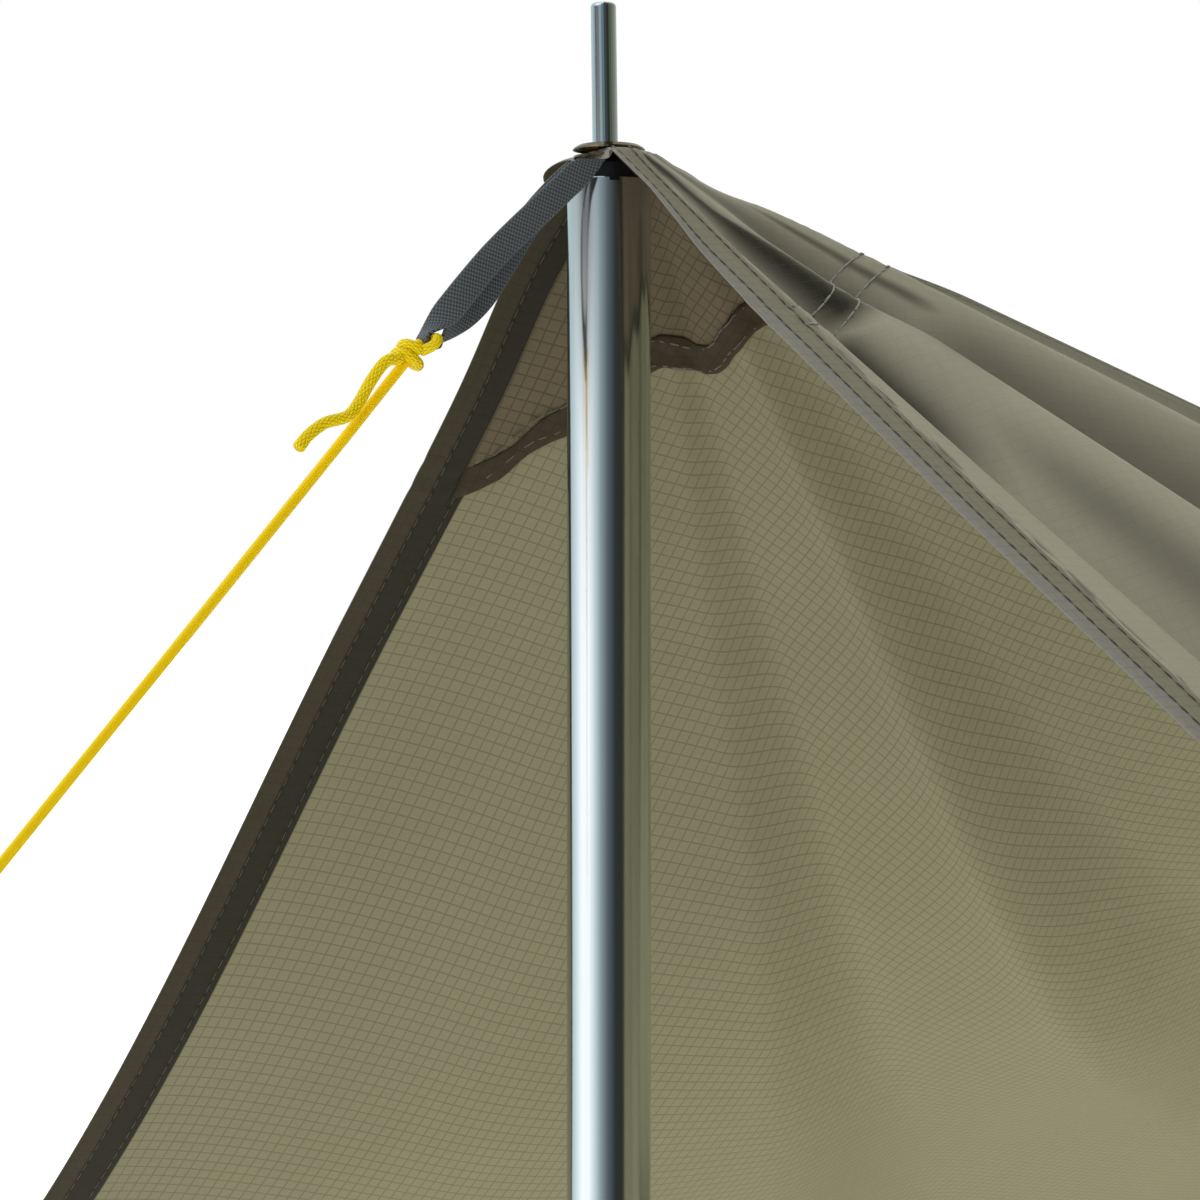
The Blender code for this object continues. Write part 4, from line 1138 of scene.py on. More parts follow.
def stitches(name: str, places: Sequence[tuple], material: bpy.types.Material, length: float,
             radius: float) -> bpy.types.Object:
    """Many short threads lying on a surface as one piece.

    Args:
        name: Name of the piece.
        places: Middle, direction and surface normal of each stitch.
        material: Their material.
        length: Length of a stitch.
        radius: Radius of the thread.

    Returns:
        The new object.
    """
    middle, along, up = (np.array([place[k] for place in places]) for k in range(3))
    along = unit(along)
    up = unit(up - along * (up * along).sum(1, keepdims=True))
    across = np.cross(along, up)
    turn = np.linspace(0, 2 * math.pi, STITCH_SIDES, endpoint=False)
    cosine, sine = np.cos(turn)[None, :, None], np.sin(turn)[None, :, None]
    ring = across[:, None] * cosine + up[:, None] * sine
    hoops = []
    for share, wide, lift in STITCH_FORM:
        centre = middle + along * share * length + up * lift * radius
        hoops.append(centre[:, None] + ring * radius * wide)
    points = np.stack(hoops, axis=1).reshape(-1, 3)
    corners = len(STITCH_FORM) * STITCH_SIDES
    base = np.arange(len(places))[:, None] * corners
    local = np.arange(corners).reshape(-1, STITCH_SIDES)
    after = np.roll(local, -1, axis=1)
    quads = np.stack([local[:-1], local[1:], after[1:], after[:-1]], -1)
    quads = quads.reshape(-1, 4)[:, ::-1]
    faces = (base[:, :, None] + quads[None]).reshape(-1, 4).tolist()
    faces += (base + local[0][None]).tolist() + (base + local[-1, ::-1][None]).tolist()
    return publish(name, points, faces, None, [material])


# The pitched cloth


def monotone_curve(x: Sequence[float], y: Sequence[float], at: np.ndarray) -> np.ndarray:
    """Cubic through (x, y) that never overshoots.

    Each slope is the weighted harmonic mean of the slopes on both sides, and 0 at a peak.

    Args:
        x: Rising places.
        y: Value at each place.
        at: Places to read it at.

    Returns:
        Value at each of those places.
    """
    x, y, at = np.asarray(x, float), np.asarray(y, float), np.asarray(at, float)
    step = np.diff(x)
    slope = np.diff(y) / step
    inner = np.zeros(len(x))
    for i in range(1, len(x) - 1):
        if slope[i - 1] * slope[i] > 0:
            wa, wb = 2 * step[i] + step[i - 1], step[i] + 2 * step[i - 1]
            inner[i] = (wa + wb) / (wa / slope[i - 1] + wb / slope[i])
    inner[0], inner[-1] = slope[0], slope[-1]
    cell = np.clip(np.searchsorted(x, at) - 1, 0, len(step) - 1)
    t = (at - x[cell]) / step[cell]
    a, b, h = y[cell], y[cell + 1], step[cell]
    return (a * (1 + 2 * t) * (1 - t) ** 2 + inner[cell] * h * t * (1 - t) ** 2
            + b * t * t * (3 - 2 * t) + inner[cell + 1] * h * t * t * (t - 1))


def patch_reach(angle: np.ndarray) -> np.ndarray:
    """Radius of the patch's outline at flat angles in degrees."""
    table = np.array(PATCH_OUTLINE, float)
    return monotone_curve(table[:, 0], table[:, 1] * MM, angle)


class Pitch:
    """The shape that the cloth takes over the pole, the same as in the CAD."""

    @staticmethod
    def directions(lines: Sequence[Sequence[float]], angle: np.ndarray) -> np.ndarray:
        """Unit directions of the hanging cloth.

        Args:
            lines: Flat angle, heading and slope of each line of tension.
            angle: Flat angles to give it at, in degrees.

        Returns:
            A direction for each angle.
        """
        table = np.array(lines)
        heading = np.radians(monotone_curve(table[:, 0], table[:, 1], angle))
        slope = np.radians(monotone_curve(table[:, 0], table[:, 2], angle))
        level = np.cos(slope)
        return np.stack([np.cos(heading) * level, np.sin(heading) * level, -np.sin(slope)], -1)

    @staticmethod
    def ground(p: np.ndarray, q: np.ndarray) -> tuple[np.ndarray, np.ndarray]:
        """Where the ray from the eyelet through a flat point meets the pegged edge.

        Args:
            p: Flat places to the right of the eyelet.
            q: Flat places behind it.

        Returns:
            Place on the ground, and flat length of the ray.
        """
        reach = np.minimum(HALF_WIDTH / np.maximum(np.abs(p), TINY), REAR / np.maximum(q, TINY))
        edge_p, edge_q = p * reach, q * reach
        corners = np.array(GROUND_POINTS)
        side = np.clip(edge_q / REAR, 0, 1)[..., None]
        back = np.clip(np.abs(edge_p) / HALF_WIDTH, 0, 1)[..., None]
        on_side = (np.abs(edge_p) >= HALF_WIDTH - 0.001 * MM)[..., None]
        front_left, rear_left, rear_middle, rear_right, front_right = corners
        left, right = (
            np.where(on_side, front + (rear - front) * side,
                     rear_middle + (rear - rear_middle) * back)
            for front, rear in ((front_left, rear_left), (front_right, rear_right)))
        plan = np.where((p <= 0)[..., None], left, right)
        height = np.full(plan.shape[:-1] + (1,), GROUND_CLEARANCE)
        return np.concatenate([plan, height], axis=-1), np.hypot(edge_p, edge_q)

    def behind(self, p: np.ndarray, q: np.ndarray) -> np.ndarray:
        """Middle surface for flat points behind the eyelet.

        A point lies on a ray from the eyelet: level as far as the flange, bent down to the ray's
        line of tension, and blended round SWEEP_RADIUS into a straight run to the pegged edge.

        Args:
            p: Flat places to the right of the eyelet.
            q: Flat places behind it.

        Returns:
            Places in space.
        """
        apex = np.array([0.0, 0.0, APEX_HEIGHT])
        radius = np.hypot(p, q)
        angle = np.degrees(np.arctan2(q, -p))
        heading = np.radians(np.interp(angle, [0.0, 90.0, 180.0], LEVEL_HEADINGS))
        level = np.stack([np.cos(heading), np.sin(heading), np.zeros_like(heading)], axis=-1)
        main = self.directions(MAIN_LINES, angle)
        folded = self.directions(FOLD_LINES, angle)
        share = smoothstep((radius - FOLD_START) / (FOLD_FULL - FOLD_START))
        down = unit(main + (folded - main) * share[..., None])
        over = np.clip(radius - FLAT_INNER, 0, FLAT_OUTER - FLAT_INNER)
        flat = np.minimum(radius, FLAT_OUTER) - over ** 2 / (2 * (FLAT_OUTER - FLAT_INNER))
        start = apex + level * flat[..., None]
        near = start + down * (radius - flat)[..., None]
        turn = start + down * (SWEEP_RADIUS - flat)[..., None]
        ground, reach = self.ground(p, q)
        far = turn + (ground - turn) * ((radius - SWEEP_RADIUS) / (reach - SWEEP_RADIUS))[..., None]
        swept = smoothstep((radius - SWEEP_RADIUS + SWEEP_BLEND) / (2 * SWEEP_BLEND))[..., None]
        return near + (far - near) * swept

    def plain(self, p: np.ndarray, q: np.ndarray) -> np.ndarray:
        """Middle surface at any flat point.

        In front of the eyelet the cloth runs straight on from the eyelet's line, and beside the
        eyelet on the right its edge turns to TURN_HEADING.

        Args:
            p: Flat places to the right of the eyelet.
            q: Flat places behind it.

        Returns:
            Places in space.
        """
        p, q = np.broadcast_arrays(np.asarray(p, float), np.asarray(q, float))
        behind = self.behind(p, np.abs(q))
        line = self.behind(p, np.zeros_like(q))
        ahead = 2 * line - behind
        rise = smoothstep((np.abs(p) - FLAT_OUTER) / (2 * FLAT_OUTER))
        ahead[..., 2] = line[..., 2] + (ahead[..., 2] - line[..., 2]) * rise
        heading = math.radians(TURN_HEADING)
        begin, full, leave, end = TURN_PLACES
        turned = smoothstep((p - begin) / (full - begin))
        turned = turned * (1 - smoothstep((p - leave) / (end - leave)))
        fall = -TURN_DROP * smoothstep(p / FLAT_OUTER)
        ahead_x, ahead_y = np.full_like(p, math.cos(heading)), np.full_like(p, math.sin(heading))
        out = np.stack([ahead_x, ahead_y, fall], -1)
        ahead += (line + out * np.abs(q)[..., None] - ahead) * turned[..., None]
        return np.where((q < 0)[..., None], ahead, behind)

    def plain_normal(self, p: np.ndarray, q: np.ndarray, step: float = 0.5 * MM) -> np.ndarray:
        """Unit normal of the plain surface on the weather side.

        It is the cross product of the surface's slopes along p and along q, each over two steps.

        Args:
            p: Flat places to the right of the eyelet.
            q: Flat places behind it.
            step: Flat length of a step.

        Returns:
            A normal for each place.
        """
        across = self.plain(p + step, q) - self.plain(p - step, q)
        along = self.plain(p, q + step) - self.plain(p, q - step)
        return unit(np.cross(across, along))

    @staticmethod
    def relief(p: np.ndarray, q: np.ndarray) -> np.ndarray:
        """Height of the fine folds and puckers over the plain surface.

        A fold is a bell round its flat angle, times a window along its length. Each of the patch's
        stitch rows is a groove with a sine along it, and a row of puckers beside it.

        Args:
            p: Flat places to the right of the eyelet.
            q: Flat places behind it.

        Returns:
            Height in metres.
        """
        radius = np.hypot(p, q)
        angle = np.degrees(np.arctan2(np.maximum(q, 0.0), -p))
        height = np.zeros_like(radius)
        for middle, width, size, near, full, leave, end in FINE_FOLDS:
            window = smoothstep((radius / MM - near) / (full - near))
            window *= smoothstep((end - radius / MM) / (end - leave))
            height += size * MM * bell(angle, middle, width) * window
        edge = patch_reach(angle)
        along = np.radians(angle) * edge
        groove, depth, wave = ROW_GROOVE
        beside, width, size, radian = ROW_PUCKER
        for inset in PATCH_ROWS:
            row = bell(radius, edge - inset, groove)
            height -= row * (depth + wave * np.sin(2 * math.pi * along / STITCH_PITCH)) * MM
            pucker = np.sin(along / radian)
            height += bell(radius, edge - inset + beside, width) * size * MM * pucker
        return height

    def at(self, p: np.ndarray, q: np.ndarray, lift: "np.ndarray | float" = 0.0) -> np.ndarray:
        """Dressed surface: the plain one, its relief, its leaning left and hanging front edge.

        Args:
            p: Flat places to the right of the eyelet.
            q: Flat places behind it.
            lift: Height over the middle surface, to the weather side.

        Returns:
            Places in space.
        """
        p, q = np.broadcast_arrays(np.asarray(p, float), np.asarray(q, float))
        height = np.asarray(self.relief(p, q) + lift)
        flare = sum(size * bell(p, middle, width) for size, middle, width in FLARES)
        flare = flare * (1 - smoothstep((q - HEM_INSIDE) / FLARE_FADE)) * (p < 0)
        droop = EDGE_DROOP * smoothstep((DROOP_START - q) / DROOP_FADE) * bell(p, 0.0, DROOP_SPREAD)
        moved = flare[..., None] * FLARE_WAY - droop[..., None] * np.array([0.0, 0.0, 1.0])
        return self.plain(p, q) + self.plain_normal(p, q) * height[..., None] + moved


PITCHED = Pitch()


def spread(near: float, far: float, step: float, plain: float, growth: float) -> np.ndarray:
    """Distances from near to far, even at first and then ever wider apart.

    Args:
        near: First distance.
        far: Last distance.
        step: First step.
        plain: Distance up to which the steps stay the same.
        growth: Factor of each later step.

    Returns:
        The distances.
    """
    places = [near]
    while places[-1] < far - step * LAST_STEP:
        places.append(min(far, places[-1] + step))
        if places[-1] > plain:
            step *= growth
    places[-1] = far
    return np.array(places)


@dataclass
class ClothPanels:
    """The two halves of the tarp, each one curved sheet.

    Attributes:
        weather: Material of the outer face.
        inner: Material of the inner face.
        inset: From the tarp's edge to the panel's.
        ridge: From the ridge to the panel's edge.
        cell: Side of a cell near the eyelet, across.
        row: Side of a cell near the eyelet, along.
        even: Cells are even up to this distance.
        growth: Factor of each cell farther out.
        bore: Radius of the opening under the eyelet.
    """

    weather: bpy.types.Material
    inner: bpy.types.Material
    inset: float = 3 * MM
    ridge: float = 1 * MM
    cell: float = 2.2 * MM
    row: float = 2.4 * MM
    even: float = 0.19
    growth: float = 1.045
    bore: float = 8.5 * MM

    def places(self) -> tuple[np.ndarray, np.ndarray]:
        """Flat places of the cells' edges.

        The line to a rear corner runs from corner to corner of its cells.

        Returns:
            Distances from the ridge, and distances behind the eyelet.
        """
        slope = REAR / HALF_WIDTH
        outside = HALF_WIDTH - self.inset / slope
        across = spread(self.ridge, outside, self.cell, self.even, self.growth)
        far = across[across > self.even] * slope
        near = spread(self.inset, far[0] - self.cell, self.row, far[0], 1.0)
        return across, np.concatenate([near, far])

    def build(self) -> list:
        """Make both panels.

        Returns:
            The left and the right panel.
        """
        made = []
        across, along = self.places()
        for name, side in (("tarp_panel_left", -1), ("tarp_panel_right", 1)):
            p, q = np.meshgrid(np.sort(across * side), along)
            top, bottom = (PITCHED.at(p, q, face * PANEL_THICKNESS / 2) for face in (1, -1))
            keep = np.hypot(p, q)[:-1, :-1] > self.bore
            sheet = closed_sheet(name + "_cloth", top, bottom, np.stack([p, q], -1),
                                 [self.weather, self.inner], keep, first=int(side < 0))
            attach(sheet, TARP)
            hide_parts(name)
            made.append(sheet)
        return made


@dataclass
class Hems:
    """Double-turned hems, the ridge's felled seam and their threads.

    Attributes:
        weather: Material of a hem's outer face.
        inner: Material of its inner face.
        seam: Material of the ridge seam.
        thread: Material of the threads on the weather side.
        inner_thread: Material of those on the inner side.
        shares: Places of the rows across a strip, as shares of its width.
        bore: Radius of the opening in the front hem under the eyelet.
        stitch: Length of a stitch.
        stitch_radii: Radius of the thread on the weather side and on the inner side.
        stitch_lift: From the hem's face to the thread's middle.
        stitch_start: From the eyelet to the first stitch.
        seam_start: From the eyelet to the ridge seam.
        front_step: First step along the front hem, and how later ones grow.
        side_step: The same for the side hems.
        side_even: Their steps are even up to this distance.
        seam_step: The same for the ridge seam.
        rear_steps: Points along the rear hem.
    """

    weather: bpy.types.Material
    inner: bpy.types.Material
    seam: bpy.types.Material
    thread: bpy.types.Material
    inner_thread: bpy.types.Material
    shares: tuple = (0, 0.03, 0.08, 0.15, 0.26, 0.37, 0.45, 0.55, 0.66, 0.76, 0.85, 0.92, 0.97, 1.0)
    bore: float = 7.6 * MM
    stitch: float = 4.0 * MM
    stitch_radii: tuple = (0.3 * MM, 0.2 * MM)
    stitch_lift: float = 0.02 * MM
    stitch_start: float = 15 * MM
    seam_start: float = 13.5 * MM
    front_step: tuple = (1.6 * MM, 1.06)
    side_step: tuple = (12 * MM, 1.03)
    side_even: float = 0.5
    seam_step: tuple = (2.4 * MM, 1.05)
    rear_steps: int = 161

    def strip(self, node: str, p: np.ndarray, q: np.ndarray, share: np.ndarray, thickness: float,
              materials: Sequence[bpy.types.Material],
              keep: np.ndarray | None = None) -> bpy.types.Object:
        """One padded strip, rounded at both edges.

        Args:
            node: Node that it replaces.
            p: Flat places to the right of the eyelet.
            q: Flat places behind it.
            share: Place across the strip, from 0 to 1.
            thickness: Thickness of the middle.
            materials: Materials of the weather and the inner face.
            keep: Which cells stay.

        Returns:
            The strip.
        """
        half = thickness / 2 * rounding(share, 6, 0.05)
        top, bottom = PITCHED.at(p, q, half), PITCHED.at(p, q, -half)
        item = closed_sheet(node + "_cloth", top, bottom, np.stack([p, q], -1), materials, keep)
        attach(item, TARP)
        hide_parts(node)
        return item

    def rows(self, name: str, face: int, material: bpy.types.Material,
             radius: float) -> bpy.types.Object:
        """Stitches along both hem rows on one face.

        Args:
            name: Name of the piece.
            face: 1 for the weather side, -1 for the inner side.
            material: Material of the thread.
            radius: Radius of the thread.

        Returns:
            The threads.
        """
        reach = np.arange(self.stitch_start, CLOSE_UP, STITCH_PITCH)
        found = []
        for row in STITCH_ROWS:
            for way in (-1, 1):
                p, q = way * reach, np.full_like(reach, row - SETBACK)
                points = PITCHED.at(p, q, face * (HEM_THICKNESS / 2 + self.stitch_lift))
                normal = PITCHED.plain_normal(p, q) * face
                found += list(zip(points, np.gradient(points, axis=0), normal))
        thread = stitches(name, found, material, self.stitch, radius)
        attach(thread, TARP)
        return thread

    def build(self) -> list:
        """Make the hems, the seam and the threads near the eyelet.

        Returns:
            Front, left, right and rear hem, the ridge seam, and the threads of both faces.
        """
        across = np.array(self.shares)
        faces = [self.weather, self.inner]
        step, growth = self.front_step
        side = spread(step, HALF_WIDTH, step, CLOSE_UP, growth)
        side = np.concatenate([-side[::-1], [0.0], side])
        p, q = np.meshgrid(side, -SETBACK + HEM_WIDTH * across)
        radius = np.hypot(p, q)
        centre = (radius[:-1, :-1] + radius[1:, 1:]) / 2
        share = np.broadcast_to(across[:, None], p.shape)
        made = [self.strip("front_hem", p, q, share, HEM_THICKNESS, faces, centre > self.bore)]
        step, growth = self.side_step
        along = spread(HEM_INSIDE, REAR - HEM_WIDTH, step, self.side_even, growth)
        for node, way in (("side_hem_left", -1), ("side_hem_right", 1)):
            p, q = np.meshgrid(np.sort(way * (HALF_WIDTH - HEM_WIDTH * across)), along)
            share = np.clip((np.abs(p) - HALF_WIDTH + HEM_WIDTH) / HEM_WIDTH, 0, 1)
            made.append(self.strip(node, p, q, share, HEM_THICKNESS, faces))
        side = np.linspace(-HALF_WIDTH, HALF_WIDTH, self.rear_steps)
        p, q = np.meshgrid(side, REAR - HEM_WIDTH + HEM_WIDTH * across)
        share = np.broadcast_to(across[:, None], p.shape)
        made.append(self.strip("rear_hem", p, q, share, HEM_THICKNESS, faces))
        step, growth = self.seam_step
        along = spread(HEM_INSIDE - 1 * MM, REAR - HEM_WIDTH, step, CLOSE_UP, growth)
        p, q = np.meshgrid(SEAM_WIDTH * (across - 0.5), along[along > self.seam_start])
        share = np.broadcast_to(across[None, :], p.shape)
        made.append(self.strip("ridge_seam", p, q, share, SEAM_THICKNESS, [self.seam, self.seam]))
        outside, inside = self.stitch_radii
        made.append(self.rows("hem_threads_weather", 1, self.thread, outside))
        made.append(self.rows("hem_threads_inner", -1, self.inner_thread, inside))
        return made


@dataclass
class ApexPatch:
    """Half-round reinforcement on the inner side, with a turned border and two stitch rows.

    Attributes:
        cloth: Material of the patch.
        border: Material of its turned border.
        thread: Material of its stitches on the inner side.
        outer_thread: Material of its stitches on the weather side.
        bore: Radius of the opening under the eyelet.
        ends: From the front hem's side of the patch to the eyelet's line.
        body: Thickness and depth under the cloth of the patch.
        edging: Thickness and depth under the cloth of its border.
        columns: Rows of points across the patch and across its border.
        overhang: How far the border stands out past the outline.
        clearance: Least gap to the cloth.
        hem_clear: Flat q where the patch starts to sink behind the hem, and over which it does.
        turns: Steps round the half turn.
        inner_row: From the cloth's middle to the thread on the inner side, and its radius.
        outer_row: The same on the weather side.
        stitch: Length of a stitch.
        stitch_count: Stitches in a row.
        stitch_span: Shares of the half turn where a row starts and ends.
    """

    cloth: bpy.types.Material
    border: bpy.types.Material
    thread: bpy.types.Material
    outer_thread: bpy.types.Material
    bore: float = 12.8 * MM
    ends: float = 4.0 * MM
    body: tuple = (0.4 * MM, 0.3 * MM)
    edging: tuple = (0.8 * MM, 0.6 * MM)
    columns: tuple = (60, 13)
    overhang: float = 0.4 * MM
    clearance: float = 0.1 * MM
    hem_clear: float = 5 * MM
    turns: int = 181
    inner_row: tuple = (1.32 * MM, 0.34 * MM)
    outer_row: tuple = (PANEL_THICKNESS / 2, 0.42 * MM)
    stitch: float = 4.9 * MM
    stitch_count: int = 74
    stitch_span: tuple = (0.03, 0.97)

    @staticmethod
    def outline(turn: np.ndarray) -> np.ndarray:
        """Radius of the patch at a share of the half turn."""
        return patch_reach(180 * turn)

    def sheet(self, name: str, low: Callable, high: Callable, columns: int, build: tuple,
              material: bpy.types.Material) -> bpy.types.Object:
        """Band of the patch between two radii.

        Each row runs round the eyelet from one end at the front hem to the other.

        Args:
            name: Name of the piece.
            low: Inner radius at a share of the half turn.
            high: Outer radius at a share of the half turn.
            columns: Rows of points between both radii.
            build: Thickness, and depth under the cloth.
            material: Its material.

        Returns:
            The band.
        """
        thickness, drop = build
        share, turn = np.meshgrid(np.linspace(0, 1, columns), np.linspace(0, 1, self.turns))
        radius = low(turn) + (high(turn) - low(turn)) * share
        lowest = np.arcsin(np.clip(self.ends / radius, 0, 1))
        angle = lowest + (np.pi - 2 * lowest) * turn
        p, q = -radius * np.cos(angle), radius * np.sin(angle)
        behind_hem = smoothstep((q - self.hem_clear) / self.hem_clear)
        middle = -(PANEL_THICKNESS / 2 + thickness / 2 + self.clearance)
        middle = middle - (drop - self.clearance) * behind_hem
        half = thickness / 2 * rounding(share, 8, 0.1)
        top, bottom = PITCHED.at(p, q, middle + half), PITCHED.at(p, q, middle - half)
        order = (1, 0, 2)
        return closed_sheet(name, top.transpose(order), bottom.transpose(order),
                            np.stack([p, q], -1).transpose(order), [material, material])

    def rows(self, name: str, face: int, build: tuple,
             material: bpy.types.Material) -> bpy.types.Object:
        """Both rows of stitches on one face of the cloth.

        Args:
            name: Name of the piece.
            face: 1 for the weather side, -1 for the inner side.
            build: From the cloth's middle to the thread, and its radius.
            material: Material of the thread.

        Returns:
            The threads.
        """
        lift, radius = build
        places = []
        turn = np.linspace(*self.stitch_span, self.stitch_count)
        for inset in PATCH_ROWS:
            reach = self.outline(turn) - inset
            p, q = -reach * np.cos(np.pi * turn), reach * np.sin(np.pi * turn)
            points = PITCHED.at(p, q, face * lift)
            normal = PITCHED.plain_normal(p, q) * face
            places += list(zip(points, np.gradient(points, axis=0), normal))
        return stitches(name, places, material, self.stitch, radius)

    def build(self) -> list:
        """Make the patch, its border and its stitches on both faces of the cloth.

        Returns:
            The pieces, the patch first.
        """
        inside, edge = self.columns
        body = self.sheet("apex_patch_cloth", lambda turn: np.full_like(turn, self.bore),
                          self.outline, inside, self.body, self.cloth)
        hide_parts("apex_patch")
        border = self.sheet("apex_patch_border", lambda turn: self.outline(turn) - BORDER_WIDTH,
                            lambda turn: self.outline(turn) + self.overhang, edge, self.edging,
                            self.border)
        made = [body, border,
                self.rows("patch_threads_inner", -1, self.inner_row, self.thread),
                self.rows("patch_threads_outer", 1, self.outer_row, self.outer_thread)]
        for piece in made:
            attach(piece, TARP)
        return made


class LoopFrame:
    """Directions at the guyline's eye: sideways, along the pull and across it."""

    def __init__(self) -> None:
        """Work the directions out from the pull of the guyline."""
        pull = math.radians(LOOP_PULL)
        self.side = np.array([1.0, 0.0, 0.0])
        self.along = np.array([0.0, -math.cos(pull), -math.sin(pull)])
        self.across = np.array([0.0, -math.sin(pull), math.cos(pull)])
        self.eye = np.array(LOOP_EYE) * MM


def strap(name: str, upper: np.ndarray, lower: np.ndarray,
          material: bpy.types.Material) -> bpy.types.Object:
    """Woven strap between two edge lines, thinner at its selvedges.

    Args:
        name: Name of the piece.
        upper: Points of one edge.
        lower: Points of the other edge.
        material: Its material.

    Returns:
        The strap.
    """
    middle = (upper + lower) / 2
    along = run(middle)
    share = np.array(STRAP_SHARES)
    points = lower[:, None] + (upper - lower)[:, None] * share[None, :, None]
    normal = unit(np.cross(np.gradient(middle, axis=0), upper - lower))
    least, gain = STRAP_ROUND
    half = STRAP_THICKNESS / 2 * (least + gain * rounding(share, 4, 0.0))
    half[[0, -1]] = STRAP_THICKNESS * STRAP_EDGE
    wide = np.linalg.norm(upper - lower, axis=1)
    flat = np.stack([np.broadcast_to(along[:, None], points.shape[:2]),
                     (share[None] - 0.5) * wide[:, None]], -1)
    top = points + normal[:, None] * half[None, :, None]
    bottom = points - normal[:, None] * half[None, :, None]
    return closed_sheet(name, top[:, ::-1], bottom[:, ::-1], flat[:, ::-1], [material, material])


@dataclass
class Webbing:
    """The apex loop and the five peg loops.

    Attributes:
        narrow: Material of the apex loop.
        wide: Material of the peg loops.
        thread: Material of their bar tacks.
        layer_gap: Half the gap between a peg loop's two layers.
        stand_off: From the cloth's corner to a peg loop.
        steps: Steps along each layer of a peg loop.
        tack_rows: Places of the bar tacks along a peg loop.
        tack_reach: From a peg loop's middle line to the last stitch of a tack.
        tack_pitch: From one stitch of a tack to the next.
        tack_stitch: Length of a stitch and radius of its thread.
    """

    narrow: bpy.types.Material
    wide: bpy.types.Material
    thread: bpy.types.Material
    layer_gap: float = 0.3 * MM
    stand_off: float = 0.4 * MM
    steps: int = 13
    tack_rows: tuple = (4 * MM, 7 * MM, 10 * MM)
    tack_reach: float = 6.0 * MM
    tack_pitch: float = 1.2 * MM
    tack_stitch: tuple = (1.4 * MM, 0.35 * MM)

    def apex_loop(self) -> None:
        """Make the loop sewn under the front hem and pinched by the guyline's eye."""
        frame = LoopFrame()
        upper, lower = [], []
        for forward, up, sideways, turn, slant, width in APEX_LOOP:
            offset = frame.along * forward + frame.across * up + frame.side * sideways
            centre = frame.eye + offset * MM
            turn, slant = math.radians(turn), math.radians(slant)
            reach = frame.across * math.cos(turn) - frame.side * math.sin(turn)
            reach = reach * math.cos(slant) + frame.along * math.sin(slant)
            upper.append(centre + reach * width / 2 * MM)
            lower.append(centre - reach * width / 2 * MM)
        upper, lower = spline(upper, LOOP_STEPS), spline(lower, LOOP_STEPS)
        loop = strap("apex_loop_webbing", upper, lower, self.narrow)
        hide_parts("apex_loop")
        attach(loop, TARP)

    def tacks(self, node: str, start: np.ndarray, out: np.ndarray, across: np.ndarray,
              height: float) -> bpy.types.Object:
        """Bar tacks across a peg loop.

        Args:
            node: Node that the loop replaces.
            start: Where the loop starts.
            out: Unit direction along it.
            across: Unit direction across it.
            height: Height of its upper face.

        Returns:
            The threads.
        """
        up = np.array([0.0, 0.0, 1.0])
        steps = np.arange(-self.tack_reach, self.tack_reach + self.tack_pitch / 2, self.tack_pitch)
        places = [(start + out * row + across * step + up * height, across, up)
                  for row in self.tack_rows for step in steps]
        return stitches(node + "_tack", places, self.thread, *self.tack_stitch)

    def peg_loop(self, node: str, p_edge: float, q_edge: float, centre_y: float) -> None:
        """Make the doubled strap that lies flat on the ground at a pegged point.

        Args:
            node: Node that it replaces.
            p_edge: Flat place of the point, to the right of the eyelet.
            q_edge: Flat place of the point, behind the eyelet.
            centre_y: Place on the ridge's line that the strap points away from.
        """
        corner = PITCHED.plain(np.array(p_edge), np.array(q_edge))
        out = unit(np.array([corner[0], corner[1] - centre_y, 0.0]))
        across = np.array([-out[1], out[0], 0.0])
        up = np.array([0.0, 0.0, 1.0])
        start = np.array([corner[0], corner[1], 0.0]) + out * self.stand_off
        low, bend = STRAP_THICKNESS / 2, STRAP_THICKNESS / 2 + self.layer_gap
        turns = np.radians(np.arange(-75, 90, 15))
        straight = np.linspace(0, PEG_LOOP_LENGTH, self.steps)
        reach = np.concatenate([straight, PEG_LOOP_LENGTH + bend * np.cos(turns), straight[::-1]])
        height = np.concatenate([np.full(self.steps, low), low + bend + bend * np.sin(turns),
                                 np.full(self.steps, low + 2 * bend)])
        path = start + out * reach[:, None] + up * height[:, None]
        half = across * PEG_LOOP_WIDTH / 2
        item = strap(node + "_webbing", path + half, path - half, self.wide)
        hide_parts(node)
        for piece in (item, self.tacks(node, start, out, across, 2 * (low + bend))):
            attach(piece, TARP)

    def build(self) -> None:
        """Make all six loops, the one at the eyelet first."""
        front, back = 0.0, 2.0
        self.apex_loop()
        self.peg_loop("peg_loop_front_left", -HALF_WIDTH, -SETBACK, front)
        self.peg_loop("peg_loop_rear_left", -HALF_WIDTH, REAR, back)
        self.peg_loop("peg_loop_rear_middle", 0.0, REAR, back)
        self.peg_loop("peg_loop_rear_right", HALF_WIDTH, REAR, back)
        self.peg_loop("peg_loop_front_right", HALF_WIDTH, -SETBACK, front)


